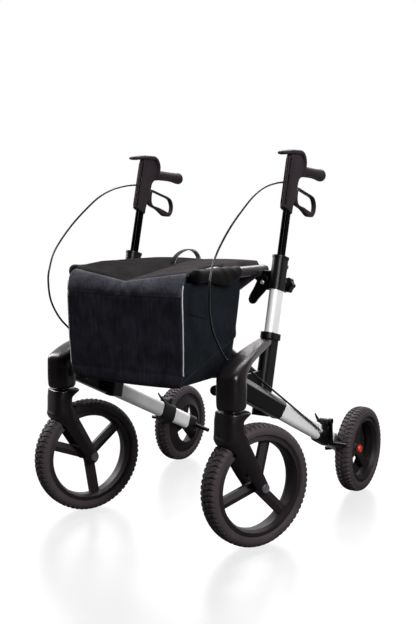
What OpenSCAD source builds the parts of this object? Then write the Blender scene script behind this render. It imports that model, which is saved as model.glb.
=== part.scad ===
// All terrain rollator that folds sideways on a cross brace.
// X runs across the rollator, the user walks behind it and looks along -Y, Z is up.

/* [Stance] */
// Distance from the caster axes back to the rear axles
wheelbase = 608; // [580:1:640]
// Distance from a lower tube's middle plane in to the caster axis
head_offset = 2.7; // [0:0.1:6]
// Gap between a rear tyre and the lower tube beside it
wheel_gap = 10.8; // [9:0.1:16]
// Distance from a caster axis back to its axle
caster_trail = 71; // [64:1:78]
// Angle that both casters are turned to at rest
caster_turn = -22; // [-30:1:0]

/* [Wheels] */
// Outer diameter of a front wheel
front_wheel_d = 294; // [280:1:300]
// Width of a front tyre
front_tyre_w = 52; // [46:1:54]
// Outer diameter of a rear wheel
rear_wheel_d = 238; // [230:1:246]
// Width of a rear tyre
rear_tyre_w = 47; // [42:1:48]
// Height of a tyre from its rim to its tread
tyre_h = 27; // [24:1:30]
// Height of the lugs over the tyre's carcass
lug_h = 3; // [2.5:0.5:4]
// Distance between lugs around the tread
lug_pitch = 20; // [18:1:25]
// Radial depth of the rim band
rim_band = 15; // [12:1:18]
// Width of a spoke
spoke_w = 26; // [22:1:28]
// Axial depth of a spoke along its ridge
spoke_t = 20; // [16:1:24]
// Diameter of the wheel axles
axle_d = 12; // [10:0.5:14]

/* [Tubes] */
// Long side of the oval tubes
tube_depth = 46; // [42:1:50]
// Short side of the oval tubes
tube_w = 24; // [20:1:26]
// Wall of the oval tubes
tube_wall = 2; // [1.5:0.25:3]
// Height at which a lower tube's axis meets the caster axis
tube_head_z = 397.4; // [385:0.1:408]

/* [Uprights] */
// Distance between the middle planes of the two uprights
upright_spacing = 458; // [452:1:464]
// Lean of the uprights, back from the vertical
upright_lean = 14.3; // [13:0.1:16]
// Where an upright's axis would meet the floor, behind the caster axis
upright_base = 105; // [100:1:110]
// Height of the upright foot's lower end, along the upright
foot_low = 294; // [290:1:300]
// Height of the joint ring on the foot, along the upright
foot_high = 499; // [490:1:506]
// Depth of the upright foot
foot_depth = 58; // [54:1:62]
// Width of the upright foot
foot_w = 28; // [27:0.5:30]
// Height of the collar's lower end, along the upright
collar_low = 607; // [600:1:612]
// Length of the upper collar
collar_h = 85; // [80:1:92]
// Depth of the upper collar
collar_depth = 50; // [49:1:55]
// Width of the upper collar
collar_w = 30; // [28:0.5:32]

/* [Front housings] */
// Width of the steering head
head_d = 60; // [57:1:64]
// Height of the steering head's lower face
head_low = 334; // [332:1:340]
// Height of the steering head's shoulder
head_high = 404; // [398:1:410]
// Rise of the curved arm from the shoulder to the upright
arm_rise = 55; // [50:1:60]
// Wall of the sleeve around the lower tube
sleeve_wall = 2.5; // [2:0.25:3]
// Length of the sleeve around the lower tube, along its top
sleeve_len = 234; // [226:1:246]
// Slant of the sleeve's rear end, from its top to its bottom
sleeve_slant = 22; // [14:1:28]

/* [Casters] */
// Overall width of the fork
fork_w = 78; // [76:1:84]
// Depth of the fork where it spreads over the tyre
crown_depth = 67; // [64:1:72]
// Gap between the fork and the tyre
fork_gap = 5; // [4:0.5:6]
// Gap between the fork and the steering head
swivel_gap = 4; // [3:0.5:6]
// Diameter of the swivel stem
stem_d = 20; // [16:1:24]

/* [Handles] */
// Depth of the telescopic post
post_depth = 28; // [26:0.5:30]
// Width of the telescopic post
post_w = 13.5; // [12:0.5:14.5]
// Height of the housing's lower end, along the upright
housing_low = 806; // [800:1:812]
// Height of the housing from its lower end to its shoulder
housing_h = 137; // [130:1:144]
// Width of the handle housing
housing_w = 20; // [19:0.5:22]
// Depth of the handle housing at its lower end
housing_depth = 42; // [40:0.5:45]
// Length of the grip
grip_len = 122; // [114:1:128]
// Diameter of the grip
grip_d = 27; // [25:0.5:29]
// Width of the brake lever
lever_w = 13; // [11:0.5:14]

/* [Folding cross] */
// Gap between a cross arm's hub and the plate beside it
bracket_gap = 1; // [0.5:0.25:2]
// Height of the lower pivots
hinge_z = 370; // [366:1:374]
// Diameter of the hinge rods
rod_d = 12; // [10:0.5:13]
// Height of a cross arm's section
arm_section = 34; // [28:1:36]
// Thickness of a cross arm
arm_t = 18; // [14:1:19]
// Gap between a seat rail and the collar beside it
rail_gap = 23; // [21:0.5:25]
// Height of the seat rails
rail_z = 636; // [630:1:642]
// Diameter of the seat rails
rail_d = 26; // [24:0.5:28]

/* [Seat and bag] */
// Front end of the seat, behind the caster axis
seat_front = 105; // [90:1:130]
// Rear end of the seat, behind the caster axis
seat_rear = 282; // [272:1:284]
// Thickness of the seat
seat_t = 14; // [10:1:18]
// Height of the bag from its bottom to its rim
bag_h = 218; // [205:1:222]
// Depth of the bag at its rim
bag_depth = 258; // [240:1:262]
// Distance from a seat rail's axis in to the bag's side
bag_inset = 8; // [5:0.5:12]
// Dip of the lid's crease at the front
lid_dip = 20; // [10:1:26]

/* [Hidden] */
$fn = 48;
// Gap between pieces that are seated on each other
fit = 0.2;
// Radial clearance of a running fit
run = 0.05;
// Clearance of soft goods and of sliding flats
soft_gap = 0.3;
// Overrun of every cut
over = 1;

// Plate and hub of the folding cross beside the upright foot
bracket_t = 5;
hub_r = 11;

// Places that follow from the driving sizes
front_r = front_wheel_d / 2;
rear_r = rear_wheel_d / 2;
axle_r = axle_d / 2;
upright_x = upright_spacing / 2;
sleeve_w = tube_w + 2 * sleeve_wall;
lower_tube_x = upright_x + foot_w / 2 + sleeve_w / 2 + fit;
caster_x = lower_tube_x - head_offset;
rear_x = lower_tube_x + tube_w / 2 + wheel_gap + rear_tyre_w / 2;
rail_r = rail_d / 2;
rail_x = upright_x - collar_w / 2 - rail_gap - rail_r;
hinge_x = upright_x - foot_w / 2 - bracket_t - bracket_gap - hub_r;
bag_w = 2 * (rail_x - bag_inset);
head_r = head_d / 2;
collar_high = collar_low + collar_h;
function upright_y(z) = upright_base + tan(upright_lean) * z;

// Middle of the whole rollator, which is moved to the origin
turn_out = sin(-caster_turn);
turn_back = cos(caster_turn);
tread_reach = front_r - front_tyre_w / 2;
far_x = caster_x + (caster_trail + tread_reach) * turn_out + front_tyre_w / 2;
near_x = -rear_x - rear_tyre_w / 2;
far_y = wheelbase + rear_r;
near_y = (caster_trail - tread_reach) * turn_back - front_tyre_w / 2;
mid_x = (far_x + near_x) / 2;
mid_y = (far_y + near_y) / 2;

// Lower tubes and their ends, along the tube from the rear axle
tube_slope = atan2(tube_head_z - rear_r, wheelbase);
tube_run = wheelbase / cos(tube_slope);
tube_rear = 42;
tube_short = 62.7;
sleeve_short = 26.7;
tube_front = tube_run - tube_short;
sleeve_front = tube_run - sleeve_short;
sleeve_end = sleeve_front - sleeve_len;

// Steering head and its lug for the hinge rod
stem_len = 62;
stem_flange_d = 34;
stem_flange_t = 2;
stem_in_fork = 26;
lug_r = 12;
lug_front = 18;
lug_len = 15;
// Curved arm: share of the run, share of the rise, shares of the head's radius across and through
arm_shares = [
  [-0.144, 0.08, 0.74, 0.20], [-0.130, 0.10, 0.90, 0.40], [-0.090, 0.15, 1.00, 0.57], [0.000, 0.24, 1.03,
  0.64],
  [0.090, 0.35, 1.02, 0.63], [0.180, 0.51, 0.97, 0.55], [0.290, 0.69, 0.90, 0.43], [0.500, 0.86, 0.77,
  0.37],
  [0.780, 0.96, 0.63, 0.33], [1.000, 1.00, 0.53, 0.32]];
// Steering head: share of its height and of its half width
head_shares = [[0.00, 0.88], [0.06, 1.00], [0.45, 1.05], [1.00, 1.00]];

// Upright foot, its ring, its web and the hinge bracket
ring_h = 15;
ring_wall = 4;
tube_seat = 330;
collar_stop = 4;
tube_top = collar_high - collar_stop;
web_t = 8;
web_run = 118;
web_drop = 56;
web_z = 398;
bracket_half_h = 16;
ear_t = 6;
ear_front = 188;

// Collar, its clamp knob and the button behind it
boss_r = 11;
boss_len = 17;
knob_l = 22;
knob_r = 20;
knob_t = 18;
knob_lobes = 6;
lobe_r = 6;
stud_r = 4;
stud_clear = 1;
stud_len = collar_depth / 2 + boss_len + soft_gap - tube_depth / 2 - stud_clear;
button_l = 64;
button_r = 8;
button_h = 7;
collar_lip = 6;
collar_lip_wall = 1.5;

// Saddle under the seat rail
saddle_front = 249;
saddle_len = 26;
saddle_wall = 6;
saddle_drop = 48;
saddle_heel = 20;

// Cross arms
arm_front = 199;
arm_gap = 8;
cradle_r = rail_r + 5;
cross_pin_r = 6;
pin_head_r = 10;
pin_head_t = 4;
rail_front = -30;
rail_rear = 283;
rail_wall = 2;
cap_r = rail_r + 2;
cap_t = 5;

// Rear end of the lower tube: brake clamp, brake arm, carrier and pedal
clamp_wall = 4;
clamp_rear = 128;
clamp_len = 64;
horn_w = 12;
horn_len = 30;
horn_h = 14;
stop_r = 6;
stop_len = 10;
brake_pin_r = 4;
brake_pin_t = 160;
brake_pin_rise = 9;
brake_hub_r = 9;
brake_hub_w = 8;
brake_gap = 6.5;
brake_bar_r = 5;
brake_web = 8;
brake_eye_r = 7;
brake_bar_angle = 17;
brake_bar_inset = 5;
boss_axle_r = 15;
carrier_lap = 24;
carrier_wall = 1;
axle_in = 14;
rear_hub_r = 19;
rear_hub_in = 28;
rear_hub_out = 1;
cap_d = 23;
cap_h = 6;
pedal_len = 58;
pedal_r = 6;
pedal_sweep = 12;
pedal_dip = 14;

// Angle of one spoke on the left and the right front wheel, and on the rear ones
front_phase = [166, 129];
rear_phase = 165;

// Front axle and hub
axle_head_r = 8;
axle_head_t = 3;
front_hub_r = 15;
hub_side_gap = 0.5;
window_corner = 14;
web_lap = 1;
web_thick = 8;

// Fork: share of its height over the axle, of the trail, of its width and of its depth
fork_shares = [
  [-0.088, 1.00, 0.87, 0.15], [-0.060, 0.99, 0.94, 0.36], [0.000, 0.97, 0.97, 0.51], [0.126, 0.78, 0.99,
  0.66],
  [0.284, 0.54, 1.00, 0.78], [0.486, 0.23, 1.00, 0.90], [0.634, 0.00, 0.99, 1.00], [0.705, -0.05, 0.98,
  0.88],
  [0.781, -0.09, 0.96, 0.77], [0.907, -0.10, 0.95, 0.73], [0.980, -0.04, 0.94, 0.85], [1.000, -0.03, 0.90,
  0.80]];

// Handle housing: share of its height, of its depth as the middle's place, of its width and its depth
housing_shares = [
  [0.00, -0.13, 0.86, 0.46], [0.02, -0.14, 0.96, 0.50], [0.12, -0.14, 1.00, 0.51], [0.34, -0.05, 1.00,
  0.59],
  [0.45, -0.01, 1.00, 0.63], [0.56, 0.00, 1.00, 0.64], [0.64, 0.03, 1.02, 0.67], [0.70, 0.11, 1.05, 0.75],
  [0.77, 0.25, 1.10, 0.89], [0.85, 0.28, 1.15, 0.92], [0.95, 0.26, 1.15, 0.90], [1.02, 0.17, 1.10, 0.79],
  [1.09, 0.10, 1.00, 0.57]];
// Visor over the housing: shares of the housing's depth behind its axis and of its height, then across
// and through
visor_shares = [
  [-1.69, 0.910, 0.60, 0.24], [-1.63, 0.914, 0.92, 0.48], [-1.43, 0.934, 1.20, 0.74], [-1.19, 0.967, 1.36,
  0.78],
  [-0.88, 1.015, 1.45, 0.85], [-0.48, 1.062, 1.50, 0.92], [0.00, 1.106, 1.50, 1.00], [0.43, 1.138, 1.50,
  1.00],
  [0.76, 1.117, 1.48, 1.00], [1.02, 1.036, 1.43, 0.97], [1.12, 0.934, 1.38, 0.80], [1.13, 0.820, 1.35,
  0.70]];
visor_t = 13;
grip_v = 45;
grip_l = 116;
grip_rise = 12;
grip_core_r = 8;
grip_wall_end = 9;
grip_flare = 2;
housing_gap = 5;
gland_l = 66;
gland_v = -31;
gland_r = 4;
post_low = 556;
post_in = 72;
lever_pin_r = 2.5;
lever_pin_v = 22;
lever_pin_l = 62;
lever_slot_gap = 0.6;
slot_front = 15.6;
slot_low = 24;
slot_h = 58;
// Lever loop, behind the pin and over it: outer and inner outlines, as shares of the loop's length
lever_len = 123;
lever_outer_shares = [
  [-0.045, -0.024], [-0.04, 0.037], [0.106, 0.077], [0.772, 0.075], [0.91, 0.033], [0.984, -0.065], [1.00,
  -0.163],
  [0.99, -0.244], [0.935, -0.341], [0.68, -0.39], [0.52, -0.346], [0.36, -0.309], [0.114, -0.285], [0.008,
  -0.203]];
lever_inner_shares = [
  [0.138, -0.073], [0.146, 0.02], [0.22, 0.042], [0.797, 0.033], [0.911, -0.049], [0.951, -0.146], [0.935,
  -0.236],
  [0.862, -0.268], [0.476, -0.248], [0.24, -0.256]];
lever_corner = 3.5;

// Seat, strap and bag
strap_w = 10;
strap_t = 3;
strap_len = 118;
strap_h = 34;
seat_corner = 18;
fold_w = 44;
fold_depth = 2;
bag_front = -72;
bag_wall = 3;
bag_rim = 602;
// Bag: share of its height, of its depth in front and behind, and of its width
bag_shares = [
  [0.00, 0.050, 0.60, 0.93], [0.03, 0.032, 0.69, 0.965], [0.12, 0.028, 0.80, 0.98], [0.30, 0.022, 0.87,
  0.985],
  [0.62, 0.010, 0.95, 0.99], [1.00, 0.000, 1.00, 1.00]];
lid_roll = 24;
lid_steps = 6;

// Brake cable
cable_r = 2.5;
// Hand-placed route of the near cable from the handle to the brake clamp
cable_route = [
  [229, 289, 853], [230, 249, 850], [231, 193, 840], [233, 140, 821], [234, 90, 792], [235, 23, 744],
  [236, -35, 688],
  [236, -57, 644], [236, -63, 611], [233, -58, 563], [226, -34, 517], [217, 5, 478], [212, 40, 446], [220,
  63, 427],
  [243, 89, 415], [259, 143, 375], [269, 215, 328], [273, 306, 273], [273.5, 365, 239], [274, 424, 204]];

// One name for every piece
SIDE_NODES = [
  "lower_tube", "front_housing", "upright_tube", "upright_foot", "upright_collar", "rail_saddle",
    "hinge_rod",
  "brake_clamp", "axle_carrier", "rear_axle", "brake_arm", "brake_cable", "height_knob", "handle_post",
  "handle_housing", "grip", "lever_pin", "brake_lever", "caster_stem", "caster_fork", "front_axle",
    "front_rim",
  "front_tyre", "rear_rim", "rear_tyre", "rear_hub_cap", "seat_rail", "cross_arm"];

// Curves, rings and lofts

function unit(v) = v / norm(v);
function power(v, e) = sign(v) * pow(abs(v), e);

// Point between b and c of a smooth curve through four values
function between(a, b, c, d, t) =
  (2 * b + (c - a) * t + (2 * a - 5 * b + 4 * c - d) * t * t + (3 * b - a - 3 * c + d) * t * t * t) / 2;

// Smooth table through the rows of a coarse one
function smooth(rows, steps) = concat(
  [for (i = [0:len(rows) - 2], j = [0:steps - 1])
    between(rows[max(i - 1, 0)], rows[i], rows[i + 1], rows[min(i + 2, len(rows) - 1)], j / steps)],
  [rows[len(rows) - 1]]);

// Flat superellipse ring at a height
function flat_ring(x, y, z, a, b, e, n) = [for (i = [0:n - 1]) let (t = 360 * i / n)
  [x + a * power(cos(t), 2 / e), y + b * power(sin(t), 2 / e), z]];

// Superellipse ring square to a direction in the YZ plane
function path_ring(p, dir, a, b, e, n) = let (w = unit([-dir[2], dir[1]])) [for (i = [0:n - 1])
  let (t = 360 * i / n, u = a * power(cos(t), 2 / e), v = -b * power(sin(t), 2 / e))
  [p[0] + u, p[1] + w[0] * v, p[2] + w[1] * v]];

// Round ring square to a direction
function tube_ring(p, dir, r, n) = let (t = unit(dir), u = unit(cross(t, [1, 0, 0])), w = cross(t, u))
  [for (i = [0:n - 1]) p + r * (cos(360 * i / n) * u + sin(360 * i / n) * w)];

// Direction of a path at one of its points
function heading(path, i) = path[min(i + 1, len(path) - 1)] - path[max(i - 1, 0)];

// Outline with each corner turned into a curve that starts a set distance from it
function soften(pts, d, n = 4) = let (m = len(pts)) [for (i = [0:m - 1])
  let (b = pts[i], p = b + unit(pts[(i + m - 1) % m] - b) * d, q = b + unit(pts[(i + 1) % m] - b) * d)
  for (j = [0:n]) let (t = j / n) (1 - t) * (1 - t) * p + 2 * t * (1 - t) * b + t * t * q];

// Closed solid through rings that turn right-handed about their way
module loft(rings) {
  n = len(rings[0]);
  m = len(rings);
  sides = [for (j = [0:m - 2], i = [0:n - 1]) let (a = j * n + i, b = j * n + (i + 1) % n)
    each [[a, a + n, b + n], [a, b + n, b]]];
  ends = [for (i = [1:n - 2]) each [[0, i, i + 1], [(m - 1) * n, (m - 1) * n + i + 1, (m - 1) * n + i]]];
  polyhedron(points = [for (r = rings) each r], faces = concat(sides, ends));
}

// Flat oval with its long side along Y
module oval(depth, width) {
  square([width, depth - width], center = true);
  for (s = [-1, 1]) translate([0, s * (depth - width) / 2]) circle(d = width);
}

module oval_bar(depth, width, low, high) {
  translate([0, 0, low]) linear_extrude(high - low) oval(depth, width);
}

// Flat link with a round eye at each of its two pins
module link(p, q, eye_p, eye_q, width) {
  way = q - p;
  translate(p) circle(r = eye_p);
  translate(q) circle(r = eye_q);
  translate(p) rotate(atan2(way[1], way[0])) translate([0, -width / 2]) square([norm(way), width]);
}

// Frames that pieces are built in

module placed() {
  translate([-mid_x, -mid_y, 0]) children();
}

// Left side as built, right side as its mirror image
module on_side(s) {
  if (s > 0) placed() children();
  else placed() mirror([1, 0, 0]) children();
}

// Upright: its axis is Z, its front is -Y
module on_upright() {
  translate([upright_x, upright_base, 0]) rotate([-upright_lean, 0, 0]) children();
}

// Lower tube: its axis is Z from the rear axle up to the front, its top is +Y
module on_lower_tube() {
  translate([lower_tube_x, wheelbase, rear_r]) rotate([90 - tube_slope, 0, 0]) children();
}

// Caster: the swivel axis is Z, the wheel trails along +Y
module on_caster(s) {
  placed() translate([s * caster_x, 0, 0]) rotate([0, 0, caster_turn]) children();
}

// Wheel: the axle is Z, which points outboard on the left side
module on_front_wheel(s) {
  on_caster(s) translate([0, caster_trail, front_r]) rotate([0, 90, 0]) children();
}

module on_rear_wheel(s) {
  on_side(s) translate([rear_x, wheelbase, rear_r]) rotate([0, 90, 0]) children();
}

// Side frames

module lower_tube(s) {
  color("gainsboro") on_side(s) on_lower_tube() difference() {
    oval_bar(tube_depth, tube_w, tube_rear, tube_front);
    oval_bar(tube_depth - 2 * tube_wall, tube_w - 2 * tube_wall, tube_rear - over, tube_front + over);
  }
}

// Steering head with rounded corners, slightly barrelled
module steering_head() {
  loft([for (r = smooth(head_shares, 3)) flat_ring(caster_x, 0, head_low + (head_high - head_low) * r[0],
    head_r * r[1], head_r * r[1], 3.2, 32)]);
}

// Moulded arm that sweeps from the head up and in to the upright
module curved_arm() {
  run = upright_y(head_high + arm_rise);
  path = [for (r = smooth(arm_shares, 3)) let (k = max(r[0], 0))
    [caster_x + (upright_x - caster_x) * k, run * r[0], head_high + arm_rise * r[1], head_r * r[2],
    head_r * r[3]]];
  loft([for (i = [0:len(path) - 1]) path_ring(path[i], heading(path, i), path[i][3], path[i][4], 2.6, 24)]);
}

// Sleeve whose rear end slants under the tube
module tube_sleeve() {
  depth = tube_depth + 2 * sleeve_wall;
  on_lower_tube() intersection() {
    oval_bar(depth, sleeve_w, sleeve_end - over, sleeve_front);
    translate([-sleeve_w, 0, 0]) rotate([90, 0, 90]) linear_extrude(2 * sleeve_w) polygon([
      [-depth, sleeve_end + sleeve_slant * 1.5], [depth, sleeve_end - sleeve_slant / 2],
      [depth, sleeve_front + over], [-depth, sleeve_front + over]]);
  }
}

// Lug behind the head that holds the front end of the hinge rod
module hinge_lug() {
  translate([hinge_x, lug_front, hinge_z]) rotate([-90, 0, 0]) cylinder(r = lug_r, h = lug_len);
  translate([hinge_x, lug_front, hinge_z - lug_r])
    cube([caster_x - hinge_x - head_r / 2, lug_len, 2 * lug_r]);
}

module front_housing(s) {
  color("#2c282a") on_side(s) difference() {
    union() {
      steering_head();
      curved_arm();
      tube_sleeve();
      hinge_lug();
    }
    translate([caster_x, 0, head_low - over]) cylinder(d = stem_d + 2 * run, h = stem_len + fit + over);
    on_lower_tube() oval_bar(tube_depth + 2 * fit, tube_w + 2 * fit, sleeve_end - over, tube_front + fit);
    on_upright() oval_bar(foot_depth + 2 * fit, foot_w + 2 * fit, foot_low, foot_high);
    on_upright() oval_bar(foot_depth + 2 * ring_wall + 2 * fit, foot_w + 2 * ring_wall + 2 * fit,
      foot_high - ring_h - fit, foot_high + ring_h);
    translate([hinge_x, lug_front - over, hinge_z]) rotate([-90, 0, 0])
      cylinder(d = rod_d + 2 * run, h = lug_len + 2 * over);
  }
}

module upright_tube(s) {
  color("gainsboro") on_side(s) on_upright() difference() {
    oval_bar(tube_depth, tube_w, tube_seat, tube_top);
    oval_bar(tube_depth - 2 * tube_wall, tube_w - 2 * tube_wall, tube_seat - over, tube_top + over);
  }
}

// Ears and back plate that hold the cross arm's hub beside the foot
module hinge_bracket() {
  inner = upright_x - foot_w / 2;
  gap = 2 * arm_t + arm_gap + 2 * (arm_front - ear_front - ear_t);
  length = gap + 2 * ear_t;
  translate([inner - bracket_t, ear_front, hinge_z - bracket_half_h])
    cube([bracket_t + fit, length, 2 * bracket_half_h]);
  for (y = [ear_front, ear_front + length - ear_t]) {
    translate([hinge_x, y, hinge_z]) rotate([-90, 0, 0]) cylinder(r = lug_r, h = ear_t);
    translate([hinge_x, y, hinge_z - lug_r]) cube([inner - hinge_x, ear_t, 2 * lug_r]);
  }
}

// Thin web in front of the foot, over the sleeve
module foot_web() {
  heel = upright_y(web_z);
  translate([upright_x - web_t / 2, 0, 0]) rotate([90, 0, 90]) linear_extrude(web_t) polygon([
    [heel - web_run, web_z], [heel, web_z], [heel - web_drop * tan(upright_lean), web_z - web_drop],
    [heel - web_run / 2, web_z - web_drop / 2]]);
}

module upright_foot(s) {
  color("#1d1b1d") on_side(s) difference() {
    union() {
      on_upright() oval_bar(foot_depth, foot_w, foot_low, foot_high);
      on_upright() oval_bar(foot_depth + 2 * ring_wall, foot_w + 2 * ring_wall, foot_high - ring_h,
        foot_high);
      foot_web();
      hinge_bracket();
    }
    on_upright() oval_bar(tube_depth + 2 * fit, tube_w + 2 * fit, tube_seat - fit, foot_high + over);
    translate([hinge_x, 0, hinge_z]) rotate([-90, 0, 0]) cylinder(d = rod_d + 2 * run, h = wheelbase);
  }
}

module upright_collar(s) {
  color("#2c282a") on_side(s) on_upright() difference() {
    union() {
      oval_bar(collar_depth, collar_w, collar_low, collar_high - collar_lip);
      oval_bar(collar_depth + 2 * collar_lip_wall, collar_w + 2 * collar_lip_wall,
        collar_high - collar_lip, collar_high);
      translate([0, 0, collar_low + knob_l]) rotate([-90, 0, 0]) cylinder(r = boss_r, h =
        collar_depth / 2 + boss_len);
      translate([0, 0, collar_low + button_l]) rotate([-90, 0, 0])
        cylinder(r = button_r, h = collar_depth / 2 + button_h);
    }
    oval_bar(tube_depth + 2 * fit, tube_w + 2 * fit, collar_low - over, tube_top + fit);
    oval_bar(post_depth + 2 * soft_gap, post_w + 2 * soft_gap, collar_low, collar_high + over);
    translate([0, tube_depth / 2, collar_low + knob_l]) rotate([-90, 0, 0])
      cylinder(r = stud_r + run, h = collar_depth);
  }
}

// Rail rest on the inner face of the collar: an eight-sided trough, open upwards
module rail_saddle(s) {
  face = upright_x - collar_w / 2;
  tip = rail_x - rail_r - saddle_wall;
  room = rail_r + soft_gap;
  flat = room * tan(22.5);
  color("#1d1b1d") on_side(s) translate([0, saddle_front + saddle_len, 0]) rotate([90, 0, 0])
    linear_extrude(saddle_len) polygon([
      [tip, rail_z], [tip, rail_z - rail_r], [rail_x, rail_z - saddle_drop + saddle_heel],
      [face - saddle_heel, rail_z - saddle_drop], [face, rail_z - saddle_drop], [face, rail_z],
      [rail_x + room, rail_z], [rail_x + room, rail_z - flat], [rail_x + flat, rail_z - room],
      [rail_x - flat, rail_z - room], [rail_x - room, rail_z - flat], [rail_x - room, rail_z]]);
}

function ear_end() = ear_front + 2 * (arm_front - ear_front) + 2 * arm_t + arm_gap;

module hinge_rod(s) {
  color("silver") on_side(s) {
    translate([hinge_x, lug_front - pin_head_t, hinge_z]) rotate([-90, 0, 0])
      cylinder(d = rod_d, h = ear_end() - lug_front + 2 * pin_head_t);
    for (y = [lug_front - pin_head_t - fit, ear_end() + fit])
      translate([hinge_x, y, hinge_z]) rotate([-90, 0, 0]) cylinder(r = pin_head_r, h = pin_head_t);
  }
}

// Rear end of the lower tube

module brake_clamp(s) {
  top = tube_depth / 2 + clamp_wall;
  color("#1d1b1d") on_side(s) on_lower_tube() difference() {
    union() {
      oval_bar(tube_depth + 2 * clamp_wall, tube_w + 2 * clamp_wall, clamp_rear, clamp_rear + clamp_len);
      translate([-horn_w / 2, 0, clamp_rear + clamp_len]) rotate([90, 0, 90]) linear_extrude(horn_w)
        polygon([
        [top - clamp_wall, -clamp_wall], [top, -clamp_len / 3], [top + horn_h / 2, 0], [top + horn_h,
        horn_len],
        [top + horn_h / 3, horn_len / 3], [top - clamp_wall, horn_len / 4]]);
      translate([tube_w / 2 + clamp_wall, 0, clamp_rear + clamp_len - stop_len]) cylinder(r = stop_r, h =
        2 * stop_len);
      translate([-tube_w / 2, 0, brake_pin_t - brake_hub_r])
        cube([tube_w / 2 + clamp_wall + tube_w / 2, top + brake_pin_rise, 2 * brake_hub_r]);
      translate([0, top + brake_pin_rise, brake_pin_t]) rotate([0, 90, 0])
        cylinder(r = brake_pin_r, h = tube_w / 2 + clamp_wall + brake_hub_w + 2 * fit);
      translate([-tube_w / 2, top + brake_pin_rise, brake_pin_t]) rotate([0, 90, 0])
        cylinder(r = brake_hub_r, h = tube_w + clamp_wall);
    }
    oval_bar(tube_depth + 2 * fit, tube_w + 2 * fit, clamp_rear - over, clamp_rear + clamp_len +
      2 * stop_len);
  }
}

function on_tube(up, along) = [
  wheelbase - along * cos(tube_slope) + up * sin(tube_slope), rear_r + along * sin(tube_slope) +
    up * cos(tube_slope)];
brake_pivot = on_tube(tube_depth / 2 + clamp_wall + brake_pin_rise, brake_pin_t);
brake_reach = rear_r + brake_gap + brake_bar_r;
brake_bar = [wheelbase - brake_reach * cos(brake_bar_angle), rear_r + brake_reach * sin(brake_bar_angle)];

module brake_arm(s) {
  inner = lower_tube_x + tube_w / 2 + clamp_wall + fit;
  outer = rear_x + rear_tyre_w / 2 - brake_bar_inset;
  color("#1d1b1d") on_side(s) difference() {
    union() {
      translate([inner, 0, 0]) rotate([90, 0, 90]) linear_extrude(brake_hub_w)
        link(brake_pivot, brake_bar, brake_hub_r, brake_eye_r, brake_web);
      translate([inner + over, brake_bar[0], brake_bar[1]]) rotate([0, 90, 0])
        cylinder(r = brake_bar_r, h = outer - inner - over);
    }
    translate([inner - over, brake_pivot[0], brake_pivot[1]]) rotate([0, 90, 0])
      cylinder(r = brake_pin_r + run, h = brake_hub_w + 2 * over);
  }
}

// Plug in the tube's rear end, with the axle's boss and the curb pedal
module axle_carrier(s) {
  inner_depth = tube_depth - 2 * tube_wall - 2 * fit;
  inner_w = tube_w - 2 * tube_wall - 2 * fit;
  color("#1d1b1d") on_side(s) difference() {
    union() {
      on_lower_tube() {
        oval_bar(inner_depth, inner_w, 0, tube_rear + carrier_lap);
        oval_bar(tube_depth + 2 * carrier_wall, tube_w + 2 * carrier_wall, 0, tube_rear - fit);
        rotate([0, 90, 0]) cylinder(r = boss_axle_r, h = tube_w + 2 * carrier_wall, center = true);
      }
      translate([lower_tube_x, wheelbase, rear_r]) rotate([pedal_sweep, 0, 0]) rotate([0, -90 - pedal_dip,
        0])
        cylinder(r = pedal_r, h = pedal_len);
    }
    translate([lower_tube_x - axle_in, wheelbase, rear_r]) rotate([0, 90, 0])
      cylinder(r = axle_r + run, h = rear_x);
  }
}

module rear_axle(s) {
  color("silver") on_side(s) translate([lower_tube_x - axle_in + fit, wheelbase, rear_r]) rotate([0, 90, 0])
    cylinder(r = axle_r, h = rear_x + rear_hub_out - lower_tube_x + axle_in - 2 * fit);
}

// Sheathed cable from the handle housing to the brake clamp
module brake_cable(s) {
  path = smooth(cable_route, 3);
  color("#151416") on_side(s) loft([for (i = [0:len(path) - 1]) tube_ring(path[i], heading(path, i),
    cable_r, 8)]);
}

// Handles

module height_knob(s) {
  start = collar_depth / 2 + boss_len + soft_gap;
  color("#1d1b1d") on_side(s) on_upright() translate([0, start, collar_low + knob_l]) rotate([-90, 0, 0]) {
    cylinder(r = knob_r - lobe_r / 2, h = knob_t);
    for (i = [0:knob_lobes - 1]) rotate(360 / knob_lobes * i) translate([knob_r - lobe_r, 0, 0])
      cylinder(r = lobe_r, h = knob_t);
    translate([0, 0, -stud_len]) cylinder(r = stud_r, h = stud_len);
  }
}

module handle_post(s) {
  high = housing_low + post_in;
  color("#0c0c0e") on_side(s) on_upright() difference() {
    oval_bar(post_depth, post_w, post_low, high);
    oval_bar(post_depth - 2 * tube_wall, post_w - 2 * tube_wall, post_low - over, high + over);
  }
}

module housing_body() {
  loft([for (r = smooth(housing_shares, 2)) flat_ring(0, housing_depth * r[1], housing_low +
    housing_h * r[0],
    housing_w / 2 * r[2], housing_depth * r[3], 4, 28)]);
}

// Visor that sweeps from its tip over the housing and down to the grip
module visor() {
  path = [for (r = smooth(visor_shares, 3))
    [0, housing_depth * r[0], housing_low + housing_h * r[1], housing_w / 2 * r[2], visor_t / 2 * r[3]]];
  loft([for (i = [0:len(path) - 1]) path_ring(path[i], heading(path, i), path[i][3], path[i][4], 3, 20)]);
}

// Grip: its axis is Z from the housing to the rear
module on_grip() {
  on_upright() translate([0, grip_v, housing_low + grip_l]) rotate([grip_rise - 90, 0, 0]) children();
}

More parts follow.
